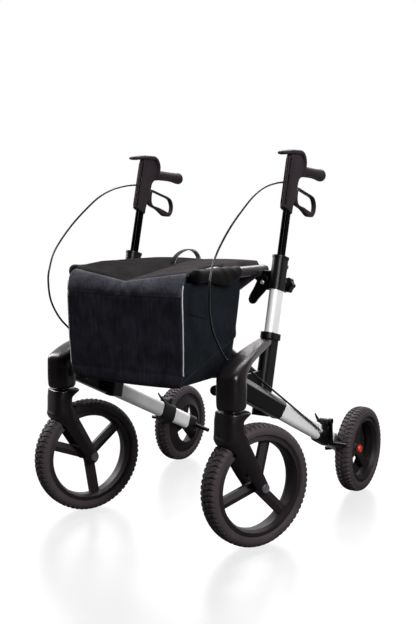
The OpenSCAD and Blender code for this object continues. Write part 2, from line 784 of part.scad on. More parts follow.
module handle_housing(s) {
  color("#3a3436") on_side(s) difference() {
    union() {
      on_upright() housing_body();
      on_upright() visor();
      on_grip() translate([0, 0, -grip_wall_end]) {
        cylinder(r = grip_core_r, h = grip_len);
        cylinder(r = grip_d / 2 - fit, h = grip_wall_end + housing_gap - fit);
      }
      on_upright() translate([0, gland_v, housing_low + gland_l]) rotate([-90, 0, 0])
        cylinder(r = gland_r, h = housing_depth / 4 - gland_v / 4);
    }
    on_grip() translate([0, 0, housing_gap - fit]) difference() {
      cylinder(r = grip_d / 2 + 2 * grip_flare, h = grip_len);
      translate([0, 0, -over]) cylinder(r = grip_core_r, h = grip_len + 2 * over);
    }
    on_upright() {
      oval_bar(post_depth + 2 * fit, post_w + 2 * fit, housing_low - over, housing_low + post_in + fit);
      translate([-lever_w / 2 - lever_slot_gap, slot_front, housing_low + slot_low])
        cube([lever_w + 2 * lever_slot_gap, housing_depth, slot_h]);
      translate([-housing_w, lever_pin_v, housing_low + lever_pin_l]) rotate([0, 90, 0])
        cylinder(r = lever_pin_r + run, h = 2 * housing_w);
    }
  }
}

module grip(s) {
  r = grip_d / 2;
  color("#3f393b") on_side(s) on_grip() difference() {
    rotate_extrude() polygon([
      [0, housing_gap], [r, housing_gap], [r - grip_flare / 4, grip_len / 3], [r - grip_flare / 4,
      grip_len * 0.6],
      [r + grip_flare / 3, grip_len * 0.76], [r + grip_flare, grip_len * 0.88], [r + grip_flare / 2,
      grip_len * 0.96],
      [r - grip_flare, grip_len], [0, grip_len]]);
    cylinder(r = grip_core_r + run, h = grip_len - grip_wall_end + fit);
  }
}

module lever_pin(s) {
  length = housing_w - 2 * fit;
  color("silver") on_side(s) on_upright() translate([-length / 2, lever_pin_v, housing_low + lever_pin_l])
    rotate([0, 90, 0]) cylinder(r = lever_pin_r, h = length);
}

// Closed loop that the fingers pull up towards the grip
module brake_lever(s) {
  color("#3a3436") on_side(s) on_upright() translate([-lever_w / 2, lever_pin_v, housing_low + lever_pin_l])
    rotate([90, 0, 90]) difference() {
      linear_extrude(lever_w) difference() {
        polygon(soften(lever_len * lever_outer_shares, lever_corner));
        polygon(soften(lever_len * lever_inner_shares, lever_corner));
      }
      translate([0, 0, -over]) cylinder(r = lever_pin_r + run, h = lever_w + 2 * over);
    }
}

// Casters

module caster_stem(s) {
  color("silver") on_caster(s) {
    translate([0, 0, head_low - swivel_gap - stem_in_fork]) cylinder(d = stem_d, h = stem_in_fork +
      swivel_gap + stem_len);
    translate([0, 0, head_low - swivel_gap + fit]) cylinder(d = stem_flange_d, h = stem_flange_t);
  }
}

// Forked leg with a hood over the tyre, moulded in one
module caster_fork(s) {
  fork_top = head_low - swivel_gap;
  height = fork_top - front_r;
  wheel_room = front_r + fork_gap;
  room_w = front_tyre_w / 2 + fork_gap;
  color("#2c282a") on_caster(s) difference() {
    loft([for (r = smooth(fork_shares, 2)) flat_ring(0, caster_trail * r[1], front_r + height * r[0],
      fork_w / 2 * r[2], crown_depth / 2 * r[3], 3.4, 28)]);
    translate([0, caster_trail, front_r]) rotate([0, 90, 0]) rotate_extrude() polygon([
      [0, -room_w], [wheel_room - tyre_h / 2, -room_w], [wheel_room, -room_w / 2],
      [wheel_room, room_w / 2], [wheel_room - tyre_h / 2, room_w], [0, room_w]]);
    translate([0, 0, fork_top - stem_in_fork - fit]) cylinder(d = stem_d + 2 * run, h = stem_in_fork +
      over);
    translate([-fork_w, caster_trail, front_r]) rotate([0, 90, 0]) cylinder(r = axle_r + run, h =
      2 * fork_w);
  }
}

module front_axle(s) {
  half = fork_w / 2 * fork_shares[2][2];
  color("gray") on_front_wheel(s) {
    cylinder(r = axle_r, h = 2 * half, center = true);
    for (e = [-1, 1]) translate([0, 0, e * (half + axle_head_t / 2)])
      cylinder(r = axle_head_r, h = axle_head_t, center = true);
  }
}

// Wheels

// Band, hub and three ridged spokes about Z, joined by a web with rounded windows
module rim(wheel_r, tyre_w, hub_radius, hub_low, hub_high, spoke_low) {
  outer = wheel_r - tyre_h;
  inner = outer - rim_band;
  half = tyre_w / 2 - rim_band / 4;
  reach = inner + rim_band / 2;
  edge = spoke_w / 2 - web_lap;
  side = asin(edge / reach);
  window = concat([edge / sin(60) * [cos(60), sin(60)]],
    [for (a = [side, 40, 80, 120 - side]) reach * [cos(a), sin(a)]]);
  difference() {
    union() {
      rotate_extrude() polygon([
        [inner, -half / 2], [inner + rim_band / 3, -half], [outer, -half + rim_band / 5], [outer,
        half - rim_band / 5],
        [inner + rim_band / 3, half], [inner, half / 2]]);
      translate([0, 0, hub_low]) cylinder(r = hub_radius, h = hub_high - hub_low);
      translate([0, 0, spoke_low + (spoke_t - web_thick) / 2]) linear_extrude(web_thick) difference() {
        circle(r = reach);
        for (i = [0:2]) rotate(120 * i) polygon(soften(window, window_corner));
      }
      for (i = [0:2]) rotate(120 * i) translate([0, 0, spoke_low + spoke_t / 2]) rotate([90, 0, 90])
        linear_extrude(reach - web_lap) polygon([
          [-spoke_w / 2, -spoke_t / 4], [0, -spoke_t / 2], [spoke_w / 2, -spoke_t / 4],
          [spoke_w / 2, spoke_t / 4], [0, spoke_t / 2], [-spoke_w / 2, spoke_t / 4]]);
    }
    translate([0, 0, hub_low - over]) cylinder(r = axle_r + run, h = hub_high - hub_low + 2 * over);
  }
}

// Round carcass with two rows of staggered lugs
module tyre(wheel_r, tyre_w) {
  seat = wheel_r - tyre_h + fit;
  crown = wheel_r - lug_h;
  half = tyre_w / 2;
  count = round(PI * 2 * wheel_r / lug_pitch);
  difference() {
    union() {
      rotate_extrude() polygon(concat([[seat, -half * 0.7]], [for (a = [-110:20:110])
        [crown - tyre_h / 2 + tyre_h / 2 * cos(a), half * power(sin(a), 0.8)]], [[seat, half * 0.7]]));
      for (e = [-1, 1], i = [0:count - 1]) rotate(360 / count * (i + e / 4)) rotate_extrude(angle =
        360 / count * 0.55)
        polygon([[crown - lug_h, 0], [wheel_r, -e * half / 8], [wheel_r, e * half * 0.5],
          [crown - lug_h / 2, e * half * 0.86], [crown - 2 * lug_h, e * half * 0.8]]);
    }
    cylinder(r = seat, h = 2 * tyre_w, center = true);
  }
}

module front_rim(s) {
  half = front_tyre_w / 2 + fork_gap - hub_side_gap;
  color("#2a2526") on_front_wheel(s) rotate(front_phase[s > 0 ? 0 : 1])
    rim(front_r, front_tyre_w, front_hub_r, -half, half, -spoke_t / 2);
}

module front_tyre(s) {
  color("#242022") on_front_wheel(s) tyre(front_r, front_tyre_w);
}

module rear_rim(s) {
  color("#2a2526") on_rear_wheel(s) rotate(rear_phase)
    rim(rear_r, rear_tyre_w, rear_hub_r, -rear_hub_in, rear_hub_out, rear_hub_out - spoke_t);
}

module rear_tyre(s) {
  color("#242022") on_rear_wheel(s) tyre(rear_r, rear_tyre_w);
}

module rear_hub_cap(s) {
  color("#d8321e") on_rear_wheel(s) translate([0, 0, rear_hub_out + fit]) rotate_extrude() polygon([
    [0, 0], [cap_d / 2, 0], [cap_d / 2, cap_h / 2], [cap_d / 2 - cap_h / 3, cap_h], [0, cap_h]]);
}

// Folding cross and seat rails

module seat_rail(s) {
  color("#4a4648") on_side(s) translate([rail_x, rail_front, rail_z]) rotate([-90, 0, 0]) difference() {
    union() {
      cylinder(r = rail_r, h = rail_rear - rail_front);
      rotate_extrude() polygon([[0, -cap_t], [cap_r - cap_t / 2, -cap_t], [cap_r, -cap_t / 2], [cap_r,
        cap_t], [0, cap_t]]);
    }
    translate([0, 0, 2 * cap_t]) cylinder(r = rail_r - rail_wall, h = rail_rear - rail_front);
  }
}

cross_rise = rail_z - hinge_z;
cross_angle = atan2(cross_rise, hinge_x + rail_x);
cross_mid_z = hinge_z + hinge_x * tan(cross_angle);

// Arm from this side's lower pivot up to the other side's rail; the left arm lies in front
module cross_arm(s) {
  front = s > 0 ? arm_front : arm_front + arm_t + arm_gap;
  length = norm([hinge_x + rail_x, cross_rise]);
  hub_low = ear_front + ear_t + soft_gap;
  hub_len = ear_end() - ear_t - soft_gap - hub_low;
  color("#1d1b1d") on_side(s) difference() {
    union() {
      translate([hinge_x, front + arm_t / 2, hinge_z]) rotate([0, cross_angle - 90, 0])
        linear_extrude(length) rotate(90) oval(arm_section, arm_t);
      translate([hinge_x, hub_low, hinge_z]) rotate([-90, 0, 0]) cylinder(r = hub_r, h = hub_len);
      translate([-rail_x, front, rail_z]) rotate([-90, 0, 0]) cylinder(r = cradle_r, h = arm_t);
    }
    translate([hinge_x, 0, hinge_z]) rotate([-90, 0, 0]) cylinder(d = rod_d + 2 * run, h = wheelbase);
    translate([-rail_x, 0, rail_z]) rotate([-90, 0, 0]) cylinder(r = rail_r + fit, h = wheelbase);
    translate([-rail_x - arm_section, 0, rail_z - soft_gap]) cube([2 * arm_section, wheelbase,
      arm_section]);
    translate([0, 0, cross_mid_z]) rotate([-90, 0, 0]) cylinder(r = cross_pin_r + run, h = wheelbase);
    translate([hinge_x, 0, hinge_z - arm_section]) difference() {
      cube([arm_section, wheelbase, 2 * arm_section]);
      translate([0, 0, arm_section]) rotate([-90, 0, 0]) cylinder(r = hub_r, h = wheelbase);
    }
  }
}

module cross_pin() {
  length = 2 * arm_t + arm_gap + 2 * soft_gap;
  color("silver") placed() translate([0, arm_front - soft_gap, cross_mid_z]) rotate([-90, 0, 0]) {
    cylinder(r = cross_pin_r, h = length);
    for (y = [-pin_head_t, length]) translate([0, 0, y]) cylinder(r = pin_head_r, h = pin_head_t);
  }
}

// Soft goods

seat_half = rail_x - rail_r - soft_gap;
lid_half = rail_x - cap_r - soft_gap;
seat_low = rail_z + rail_r / 3;

// Padded seat with the thinner strip that it folds along
module seat_sling() {
  color("#2b2b2d") placed() difference() {
    translate([0, 0, seat_low]) linear_extrude(seat_t) polygon(soften([
      [-seat_half, seat_front], [seat_half, seat_front], [seat_half, seat_rear], [-seat_half, seat_rear]],
        seat_corner));
    translate([-fold_w / 2, seat_front - over, seat_low + seat_t - fold_depth])
      cube([fold_w, seat_rear - seat_front + 2 * over, fold_depth + over]);
  }
}

// Pull loop that folds the rollator, an arch over the seat's middle
module seat_strap() {
  middle = (seat_front + seat_rear) / 2;
  half = strap_len / 2;
  color("#1b1b1d") placed() translate([-strap_w / 2, middle, seat_low + seat_t - fold_depth + fit])
    rotate([90, 0, 90])
    linear_extrude(strap_w) polygon(concat(
      [for (a = [0:15:180]) [half * cos(a), strap_h * sin(a)]],
      [for (a = [180:-15:0]) [(half - strap_t) * cos(a), (strap_h - strap_t) * sin(a)]]));
}

// Tub with thin walls, from its bottom up the outside and down the inside
module bag_tub() {
  outer = smooth(bag_shares, 2);
  function at(r, wall) = let (front = bag_front + bag_depth * r[1] + wall, rear = bag_front +
    bag_depth * r[2] - wall)
    flat_ring(0, (front + rear) / 2, bag_rim - bag_h * (1 - r[0]) + (r[0] == 0 ? wall : 0),
      bag_w / 2 * r[3] - wall, (rear - front) / 2, 16, 32);
  last = len(outer) - 1;
  loft(concat([for (r = outer) at(r, 0)], [for (i = [last:-1:0]) at(outer[i], bag_wall)]));
}

// Lid with a crease along its middle that dips to the front; it lies between the rails and its foot under
// them
module bag_lid() {
  low = bag_rim + fit;
  ledge = rail_z - cap_r - soft_gap;
  high = seat_low - soft_gap;
  half = bag_w / 2;
  length = bag_depth - lid_roll;
  function at(y, dip, top, shelf) = [
    [0, y, low], [-half, y, low], [-half, y, shelf], [-lid_half, y, shelf], [-lid_half, y, top], [0, y,
    top - dip],
    [lid_half, y, top], [lid_half, y, shelf], [half, y, shelf], [half, y, low]];
  loft(concat(
    [at(bag_front, 0, low + 2 * bag_wall, low + bag_wall)],
    [for (i = [0:lid_steps]) let (k = i / lid_steps)
      at(bag_front + lid_roll + length * k, lid_dip * pow(1 - k, 1.5), high, ledge)]));
}

module bag() {
  color("#1c1d22") placed() {
    bag_tub();
    bag_lid();
  }
}

// Every piece by its name

module side_piece(name, s) {
  if (name == "lower_tube") lower_tube(s);
  if (name == "front_housing") front_housing(s);
  if (name == "upright_tube") upright_tube(s);
  if (name == "upright_foot") upright_foot(s);
  if (name == "upright_collar") upright_collar(s);
  if (name == "rail_saddle") rail_saddle(s);
  if (name == "hinge_rod") hinge_rod(s);
  if (name == "brake_clamp") brake_clamp(s);
  if (name == "axle_carrier") axle_carrier(s);
  if (name == "rear_axle") rear_axle(s);
  if (name == "brake_arm") brake_arm(s);
  if (name == "brake_cable") brake_cable(s);
  if (name == "height_knob") height_knob(s);
  if (name == "handle_post") handle_post(s);
  if (name == "handle_housing") handle_housing(s);
  if (name == "grip") grip(s);
  if (name == "lever_pin") lever_pin(s);
  if (name == "brake_lever") brake_lever(s);
  if (name == "caster_stem") caster_stem(s);
  if (name == "caster_fork") caster_fork(s);
  if (name == "front_axle") front_axle(s);
  if (name == "front_rim") front_rim(s);
  if (name == "front_tyre") front_tyre(s);
  if (name == "rear_rim") rear_rim(s);
  if (name == "rear_tyre") rear_tyre(s);
  if (name == "rear_hub_cap") rear_hub_cap(s);
  if (name == "seat_rail") seat_rail(s);
  if (name == "cross_arm") cross_arm(s);
}

for (name = SIDE_NODES) {
  side_piece(name, 1);
  side_piece(name, -1);
}
cross_pin();
seat_sling();
seat_strap();
bag();
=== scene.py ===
"""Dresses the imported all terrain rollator: housings, wheels, handles, bag, seat, cables and stage."""

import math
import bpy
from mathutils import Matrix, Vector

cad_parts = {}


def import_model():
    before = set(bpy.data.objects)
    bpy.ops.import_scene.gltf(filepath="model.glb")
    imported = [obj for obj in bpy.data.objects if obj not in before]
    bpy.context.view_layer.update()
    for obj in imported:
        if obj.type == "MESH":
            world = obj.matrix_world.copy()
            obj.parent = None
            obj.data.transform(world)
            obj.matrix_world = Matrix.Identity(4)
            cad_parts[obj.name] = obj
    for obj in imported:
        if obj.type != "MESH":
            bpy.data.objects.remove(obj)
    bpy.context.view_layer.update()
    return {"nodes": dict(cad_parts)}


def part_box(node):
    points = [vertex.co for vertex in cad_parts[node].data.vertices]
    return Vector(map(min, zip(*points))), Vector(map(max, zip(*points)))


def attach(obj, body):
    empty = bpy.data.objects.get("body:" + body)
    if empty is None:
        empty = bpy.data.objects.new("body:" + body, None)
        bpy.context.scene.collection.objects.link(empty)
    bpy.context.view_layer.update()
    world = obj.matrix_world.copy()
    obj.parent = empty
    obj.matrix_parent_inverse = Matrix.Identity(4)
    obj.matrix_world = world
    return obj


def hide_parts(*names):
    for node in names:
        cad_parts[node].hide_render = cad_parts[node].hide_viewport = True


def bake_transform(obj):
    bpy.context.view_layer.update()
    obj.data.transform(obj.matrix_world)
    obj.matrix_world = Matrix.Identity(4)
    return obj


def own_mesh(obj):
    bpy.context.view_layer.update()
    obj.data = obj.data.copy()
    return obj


bl_info = {
    "name": "All terrain rollator",
    "version": (1, 0, 0),
    "blender": (4, 5, 0),
    "location": "View3D > Sidebar > Rollator",
    "description": "Builds the looks of a folding outdoor rollator around its packed CAD frame",
    "category": "Object",
}

import bmesh
import bpy
import numpy as np
from mathutils import Vector

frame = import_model()
SIDES = {"left": 1, "right": -1}


def cad_middle(node):
    """Middle of a CAD node's box, in millimetres."""
    low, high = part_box(node)
    return np.array(low + high) * 500


# The shapes below are worked out in millimetres from the plane of symmetry, the caster axes and the floor.
SHIFT = np.array([
    (cad_middle("left_upright_tube")[0] + cad_middle("right_upright_tube")[0]) / 2,
    cad_middle("left_caster_stem")[1], 0])
UPRIGHT_X = cad_middle("left_upright_tube")[0] - SHIFT[0]
CASTER_X = cad_middle("left_caster_stem")[0] - SHIFT[0]
REAR_X = cad_middle("left_rear_tyre")[0] - SHIFT[0]
RAIL_X = cad_middle("left_seat_rail")[0] - SHIFT[0]
LEAN = math.radians(14.3)  # of the uprights, to the rear
SLOPE = math.radians(24.6)  # of the lower tubes
TURN = math.radians(-22)  # of the casters at rest
UPRIGHT_Y = 105  # where an upright's axis would meet the floor
FRONT_R, REAR_R = 147, 119  # radii of the wheels
TYRE_DEPTH = 27
FRONT_HUB = np.array([0, 71, FRONT_R])  # from the swivel axis
REAR_HUB = np.array([REAR_X, 608, REAR_R])
RAIL_Z = 636
LID_HALF = 171  # from the crease to the rails
POCKET_FALL = 53 / 213  # of the side pockets' mouths, to the rear
BEHIND = (-0.545, 0.838, 0)  # level direction away from the camera


def world(points):
    """Design millimetres to metres in the frame."""
    return (np.asarray(points, float) + SHIFT) / 1000


def on_upright(points):
    """Places of an upright: x across, y behind its axis, z along it."""
    x, v, h = np.moveaxis(np.asarray(points, float), -1, 0)
    return np.stack([x + UPRIGHT_X, UPRIGHT_Y + h * math.sin(LEAN) + v * math.cos(LEAN),
                     h * math.cos(LEAN) - v * math.sin(LEAN)], -1)


def on_lower_tube(points):
    """Places of a lower tube: x across, y over its axis, z along it from the rear axle."""
    x, n, t = np.moveaxis(np.asarray(points, float), -1, 0)
    tube_x = cad_middle("left_lower_tube")[0] - SHIFT[0]
    return np.stack([x + tube_x, REAR_HUB[1] - t * math.cos(SLOPE) + n * math.sin(SLOPE),
                     REAR_R + t * math.sin(SLOPE) + n * math.cos(SLOPE)], -1)


def on_caster(points, side):
    """Places of a caster: z is the swivel axis, the wheel trails along y."""
    x, y, z = np.moveaxis(np.asarray(points, float), -1, 0)
    return np.stack([x * math.cos(TURN) - y * math.sin(TURN) + side * CASTER_X,
                     x * math.sin(TURN) + y * math.cos(TURN), z], -1)


# Curves and surfaces

def catmull_rom(a, b, c, d, t):
    """Cubic from b to c whose slopes there are (c - a) / 2 and (d - b) / 2."""
    return (2 * b + (c - a) * t + (2 * a - 5 * b + 4 * c - d) * t ** 2 + (3 * b - a - 3 * c + d) * t ** 3) / 2


def smooth(rows, steps):
    """Catmull-Rom curve through the rows of a table, with a number of steps between rows."""
    rows = np.asarray(rows, float)
    padded = np.vstack([rows[:1], rows, rows[-1:]])
    k = np.linspace(0, len(rows) - 1, (len(rows) - 1) * steps + 1)
    i = np.minimum(k.astype(int), len(rows) - 2)
    return catmull_rom(*(padded[i + j] for j in range(4)), (k - i)[:, None])


def smooth_loop(rows, steps):
    """The same curve through a closed table."""
    rows = np.asarray(rows, float)
    k = np.arange(len(rows) * steps) / steps
    i = k.astype(int)
    return catmull_rom(*(rows[(i + j) % len(rows)] for j in (-1, 0, 1, 2)), (k - i)[:, None])


def round_table(power, count, depth_power=None):
    """Superellipse of unit half axes as two columns: cosine and sine of the turn, each raised to two over its
    power."""
    t = np.linspace(0, 2 * np.pi, count, endpoint=False)
    c, s = np.cos(t), np.sin(t)
    return (np.sign(c) * np.abs(c) ** (2 / np.asarray(power, float)),
            np.sign(s) * np.abs(s) ** (2 / np.asarray(power if depth_power is None else depth_power, float)))


def columns(*values):
    """Values as columns of one length, one row for each ring."""
    return [np.asarray(c, float).reshape(-1, 1) for c in np.broadcast_arrays(*values)]


def flat_rings(x, y, z, a, b, power=3.0, count=48, depth_power=None):
    """Superellipses at heights z, with half axes a across and b along."""
    x, y, z, a, b, p, q = columns(x, y, z, a, b, power, power if depth_power is None else depth_power)
    u, v = round_table(p, count, q)
    return np.stack([x + a * u, y + b * v, z + 0 * u], -1)


def path_rings(path, a, b, power=3.0, count=48, headings=None):
    """Superellipses square to a path in the YZ plane: half axis a across it in x, b through it."""
    path = np.asarray(path, float)
    way = np.gradient(path, axis=0) if headings is None else np.asarray(headings, float)
    lift = np.stack([0 * way[:, 0], -way[:, 2], way[:, 1]], -1)
    lift /= np.linalg.norm(lift, axis=1, keepdims=True)
    u, v = round_table(power, count)
    a, b = (np.broadcast_to(np.asarray(c, float), len(path)).reshape(-1, 1, 1) for c in (a, b))
    across = np.array([1.0, 0, 0])
    return path[:, None] + a * u[None, :, None] * across + b * v[None, :, None] * lift[:, None]


def tube_rings(path, radius, count=12):
    """Circles square to a path in space."""
    path = np.asarray(path, float)
    way = np.gradient(path, axis=0)
    way /= np.linalg.norm(way, axis=1, keepdims=True)
    u = np.cross(way, [1.0, 0, 0])
    u /= np.linalg.norm(u, axis=1, keepdims=True)
    w = np.cross(way, u)
    t = np.linspace(0, 2 * np.pi, count, endpoint=False)
    radius = np.broadcast_to(np.asarray(radius, float), len(path)).reshape(-1, 1, 1)
    circle = np.cos(t)[None, :, None] * u[:, None] + np.sin(t)[None, :, None] * w[:, None]
    return path[:, None] + radius * circle


def turned(profile, count=96):
    """A profile of radius and height carried round z."""
    profile = np.asarray(profile, float)
    t = np.linspace(0, 2 * np.pi, count, endpoint=False)
    r, z = profile[:, :1], profile[:, 1:2]
    return np.stack([r * np.cos(t), r * np.sin(t), z + 0 * t], -1)


def by_angle(loop, centre, count):
    """Closed outline read again at even turns about a centre, so that two outlines match point for point."""
    off = loop - centre
    t = np.linspace(-np.pi, np.pi, count, endpoint=False)
    reach = np.interp(t, np.arctan2(off[:, 1], off[:, 0]), np.hypot(off[:, 0], off[:, 1]), period=2 * np.pi)
    return np.asarray(centre) + reach[:, None] * np.stack([np.cos(t), np.sin(t)], -1)


def rounded_walk(face, flank, corner=8):
    """Once round a rectangle with round corners, counter-clockwise from the front left: for each column its
    place on the inner rectangle (two columns of -1 to 1) and its outward direction (two columns)."""
    place, outward = [], []
    for angle, count in ((-90, face), (0, flank), (90, face), (180, flank)):
        n = np.array([math.cos(math.radians(angle)), math.sin(math.radians(angle))])
        along = np.array([-n[1], n[0]])
        place += [n + along * k for k in np.linspace(-1, 1, count)] + [n + along] * (corner - 1)
        turn = np.radians(angle + np.linspace(0, 90, corner + 1)[1:-1])
        outward += [n] * count + list(np.stack([np.cos(turn), np.sin(turn)], -1))
    return np.array(place).T, np.array(outward).T


def grid_faces(rows, cols, wrap_cols, wrap_rows):
    """Corner numbers of the quads of a grid, closed round its columns or rows where asked."""
    r = np.arange(rows if wrap_rows else rows - 1)[:, None]
    c = np.arange(cols if wrap_cols else cols - 1)[None]
    a, b = r * cols + c, r * cols + (c + 1) % cols
    e, f = (r + 1) % rows * cols + c, (r + 1) % rows * cols + (c + 1) % cols
    return np.stack([a, b, f, e], -1).reshape(-1, 4).tolist()


def piece(name, grids, material, crease=35.0, ends=True, wrap_rows=False, wrap_cols=True, side=1,
          closed=True):
    """Mesh of one or more grids of points in design millimetres, outward normals, smooth below the crease
    angle."""
    vertices, faces = [], []
    for grid in grids if isinstance(grids, list) else [grids]:
        rows, cols = grid.shape[:2]
        base = sum(len(v) for v in vertices)
        vertices.append(grid.reshape(-1, 3) * [side, 1, 1])
        part = grid_faces(rows, cols, wrap_cols, wrap_rows)
        if ends and wrap_cols and not wrap_rows:
            part += [list(range(cols))[::-1], list(range((rows - 1) * cols, rows * cols))]
        faces += [[i + base for i in face] for face in part]
    mesh = bpy.data.meshes.new(name)
    mesh.from_pydata(world(np.vstack(vertices)), [], faces)
    tidy(mesh, crease, closed)
    made = bpy.data.objects.new(name, mesh)
    bpy.context.scene.collection.objects.link(made)
    mesh.materials.append(material)
    return made


def tidy(mesh, crease, closed=True):
    """Merges doubles, turns the faces of a closed shape outwards and sets which edges stay sharp."""
    shape = bmesh.new()
    shape.from_mesh(mesh)
    bmesh.ops.remove_doubles(shape, verts=shape.verts, dist=1e-6)
    bmesh.ops.dissolve_degenerate(shape, edges=shape.edges, dist=1e-7)
    if closed:
        bmesh.ops.recalc_face_normals(shape, faces=shape.faces)
    shape.to_mesh(mesh)
    shape.free()
    mesh.polygons.foreach_set("use_smooth", np.ones(len(mesh.polygons), bool))
    mesh.set_sharp_from_angle(angle=math.radians(crease))


def cut(made, cutters, crease=35.0):
    """Takes cutters out of a piece, bakes the result into its mesh and removes the cutters."""
    for cutter in cutters:
        modifier = made.modifiers.new("cut", "BOOLEAN")
        modifier.object = cutter
        modifier.solver = "EXACT"
    bpy.context.view_layer.update()
    baked = bpy.data.meshes.new_from_object(made.evaluated_get(bpy.context.evaluated_depsgraph_get()))
    made.modifiers.clear()
    made.data = baked
    for cutter in cutters:
        bpy.data.objects.remove(cutter)
    baked.polygons.foreach_set("use_smooth", np.ones(len(baked.polygons), bool))
    baked.set_sharp_from_angle(angle=math.radians(crease))
    return made


def dress(made, body, slot, *nodes):
    """Rides a piece on a body and lets it stand for CAD nodes."""
    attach(made, body)
    if nodes:
        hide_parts(*nodes)
    return made


# Materials

def linear(code):
    """sRGB hex code to linear RGBA."""
    s = np.array([int(code[i:i + 2], 16) for i in (1, 3, 5)]) / 255
    return tuple(np.where(s <= 0.04045, s / 12.92, ((s + 0.055) / 1.055) ** 2.4)) + (1.0,)


def add(tree, kind, inputs=(), **settings):
    """A node with its settings, and its inputs as values or as (node, output) links."""
    made = tree.nodes.new(kind)
    for key, value in settings.items():
        setattr(made, key, value)
    for key, value in dict(inputs).items():
        if isinstance(value, tuple) and len(value) == 2 and hasattr(value[0], "outputs"):
            tree.links.new(value[0].outputs[value[1]], made.inputs[key])
        else:
            made.inputs[key].default_value = value
    return made


def finish(name, dark, light, roughness, grain_mm, bump_mm, stretch=(1, 1, 1), spread=0.06, **sockets):
    """A surface whose colour, roughness and height vary with a noise of a real grain size. Broad patches vary
    the colour too."""
    material = bpy.data.materials.get(name)
    if material:
        return material
    material = bpy.data.materials.new(name)
    material.use_nodes = True
    tree = material.node_tree
    shader = tree.nodes["Principled BSDF"]
    place = add(tree, "ShaderNodeTexCoord")
    scaled = add(tree, "ShaderNodeMapping", {"Vector": (place, "Object"), "Scale": stretch})
    noise = add(tree, "ShaderNodeTexNoise", {"Vector": (scaled, 0), "Scale": 1000 / grain_mm, "Detail": 4.0})
    # Broad patches, about 70 mm across
    cloud = add(tree, "ShaderNodeTexNoise", {"Vector": (place, "Object"), "Scale": 14.0, "Detail": 2.0})
    blend = add(tree, "ShaderNodeMath", {0: (noise, 0), 1: (cloud, 0)}, operation="ADD")
    share = add(tree, "ShaderNodeMapRange", {"Value": (blend, 0), "From Min": 0.6, "From Max": 1.4})
    tone = add(tree, "ShaderNodeMix", {0: (share, 0), 6: linear(dark), 7: linear(light)}, data_type="RGBA")
    rough = add(tree, "ShaderNodeMapRange", {
        "Value": (noise, 0), "To Min": roughness - spread, "To Max": roughness + spread})
    height = add(tree, "ShaderNodeBump", {"Height": (noise, 0), "Distance": bump_mm / 1000, "Strength": 1.0})
    tree.links.new(tone.outputs[2], shader.inputs["Base Color"])
    tree.links.new(rough.outputs[0], shader.inputs["Roughness"])
    tree.links.new(height.outputs[0], shader.inputs["Normal"])
    for key, value in sockets.items():
        shader.inputs[key.replace("_", " ")].default_value = value
    return material


def colours():
    """The scene's own colours."""
    return bpy.context.scene.rollator_colours


def sizes():
    """The scene's own sizes."""
    return bpy.context.scene.rollator_sizes


def moulded_abs():
    """Injection-moulded ABS with a spark-eroded grain: soft broad highlights, slightly warm black.
    The real grain is about 0.3 mm; it is drawn at 3 mm so that it shows."""
    return finish("moulded ABS", colours().abs_dark, colours().abs_light, 0.31, 3.0, 0.012,
                  Specular_IOR_Level=0.55, Specular_Tint=(1.0, 0.88, 0.95, 1.0))


def sleeve_abs_painted_shade():
    """ABS on the sleeves, glossier than the housings, with clear light lines. Its near-black base is painted
    shade: it is darker than the housings' ABS so that it stands for the shade on the sleeves' flat sides.
    """
    return finish("moulded ABS, polished, painted shade", "#020202", "#060505", 0.22, 3.0, 0.006, Specular_IOR_Level=0.32)


def handle_abs():
    """The same ABS with a coarser spark grain on the handles: duller and browner."""
    return finish("moulded ABS, coarse grain", "#261f23", "#362d32", 0.6, 2.4, 0.03,
                  Specular_IOR_Level=0.09, Specular_Tint=(1.0, 0.88, 0.95, 1.0))


def nylon():
    """Glass-filled nylon of brackets and knobs: flatter and darker than the housings."""
    return finish("glass-filled nylon", "#050405", "#0b090a", 0.4, 2.5, 0.03, Specular_IOR_Level=0.3)


def anodised():
    """Anodised aluminium tube, drawn and satin etched, so that it scatters much of its light: pale, with
    faint lines along the tube."""
    return finish("anodised aluminium", "#f3f3f5", "#fcfcfd", 0.46, 2.0, 0.004, stretch=(1, 0.1, 0.1),
                  Metallic=0.22)


def gloss_post():
    """Black hard-anodised telescopic post, polished: deep black with a sharp light line."""
    return finish("black hard-anodised aluminium", "#010101", "#030303", 0.14, 2.0, 0.002, spread=0.03,
                  Specular_IOR_Level=0.03)


def grip_rubber():
    """Thermoplastic elastomer of the grips: soft sheen, moulded fine ribs."""
    return finish("thermoplastic elastomer", "#231c20", "#32292e", 0.64, 2.0, 0.05, Specular_IOR_Level=0.1,
                  Specular_Tint=(1.0, 0.88, 0.95, 1.0))


def tyre_rubber():
    """Vulcanised tyre rubber, slightly dusty brown-black."""
    return finish("tyre rubber", "#332c30", "#4a4146", 0.64, 2.2, 0.06, Specular_IOR_Level=0.3)


def front_rim_nylon():
    """Injection-moulded nylon of the front rims, close in tone to the tyres."""
    return finish("rim nylon, brown-grey", "#1d181a", "#2d2629", 0.5, 3.0, 0.02, Specular_IOR_Level=0.3)


def rim_nylon():
    """Injection-moulded nylon of the dished rear rims, satin brown-black."""
    return finish("rim nylon", "#151112", "#231e1f", 0.5, 3.0, 0.02, Specular_IOR_Level=0.25)


def turned_steel():
    """Zinc-plated turned steel of axles, stems and pins."""
    return finish("zinc-plated steel", "#8f8c90", "#b9b7ba", 0.32, 1.5, 0.004, Metallic=1.0)


def bright_zinc():
    """Bright zinc of bolts and cable ends: pale and slightly milky."""
    return finish("bright zinc", "#bdbcc0", "#dedee2", 0.38, 1.5, 0.004, Metallic=0.5)


def axle_cap_grey():
    """Grey moulded cap over the axle's head."""
    return finish("grey polypropylene", "#45414a", "#5f5a63", 0.5, 2.0, 0.01)


def red_cap():
    """Red polypropylene hub cap, glossy."""
    return finish("red polypropylene", "#b3200e", "#dc3a22", 0.3, 3.0, 0.01)


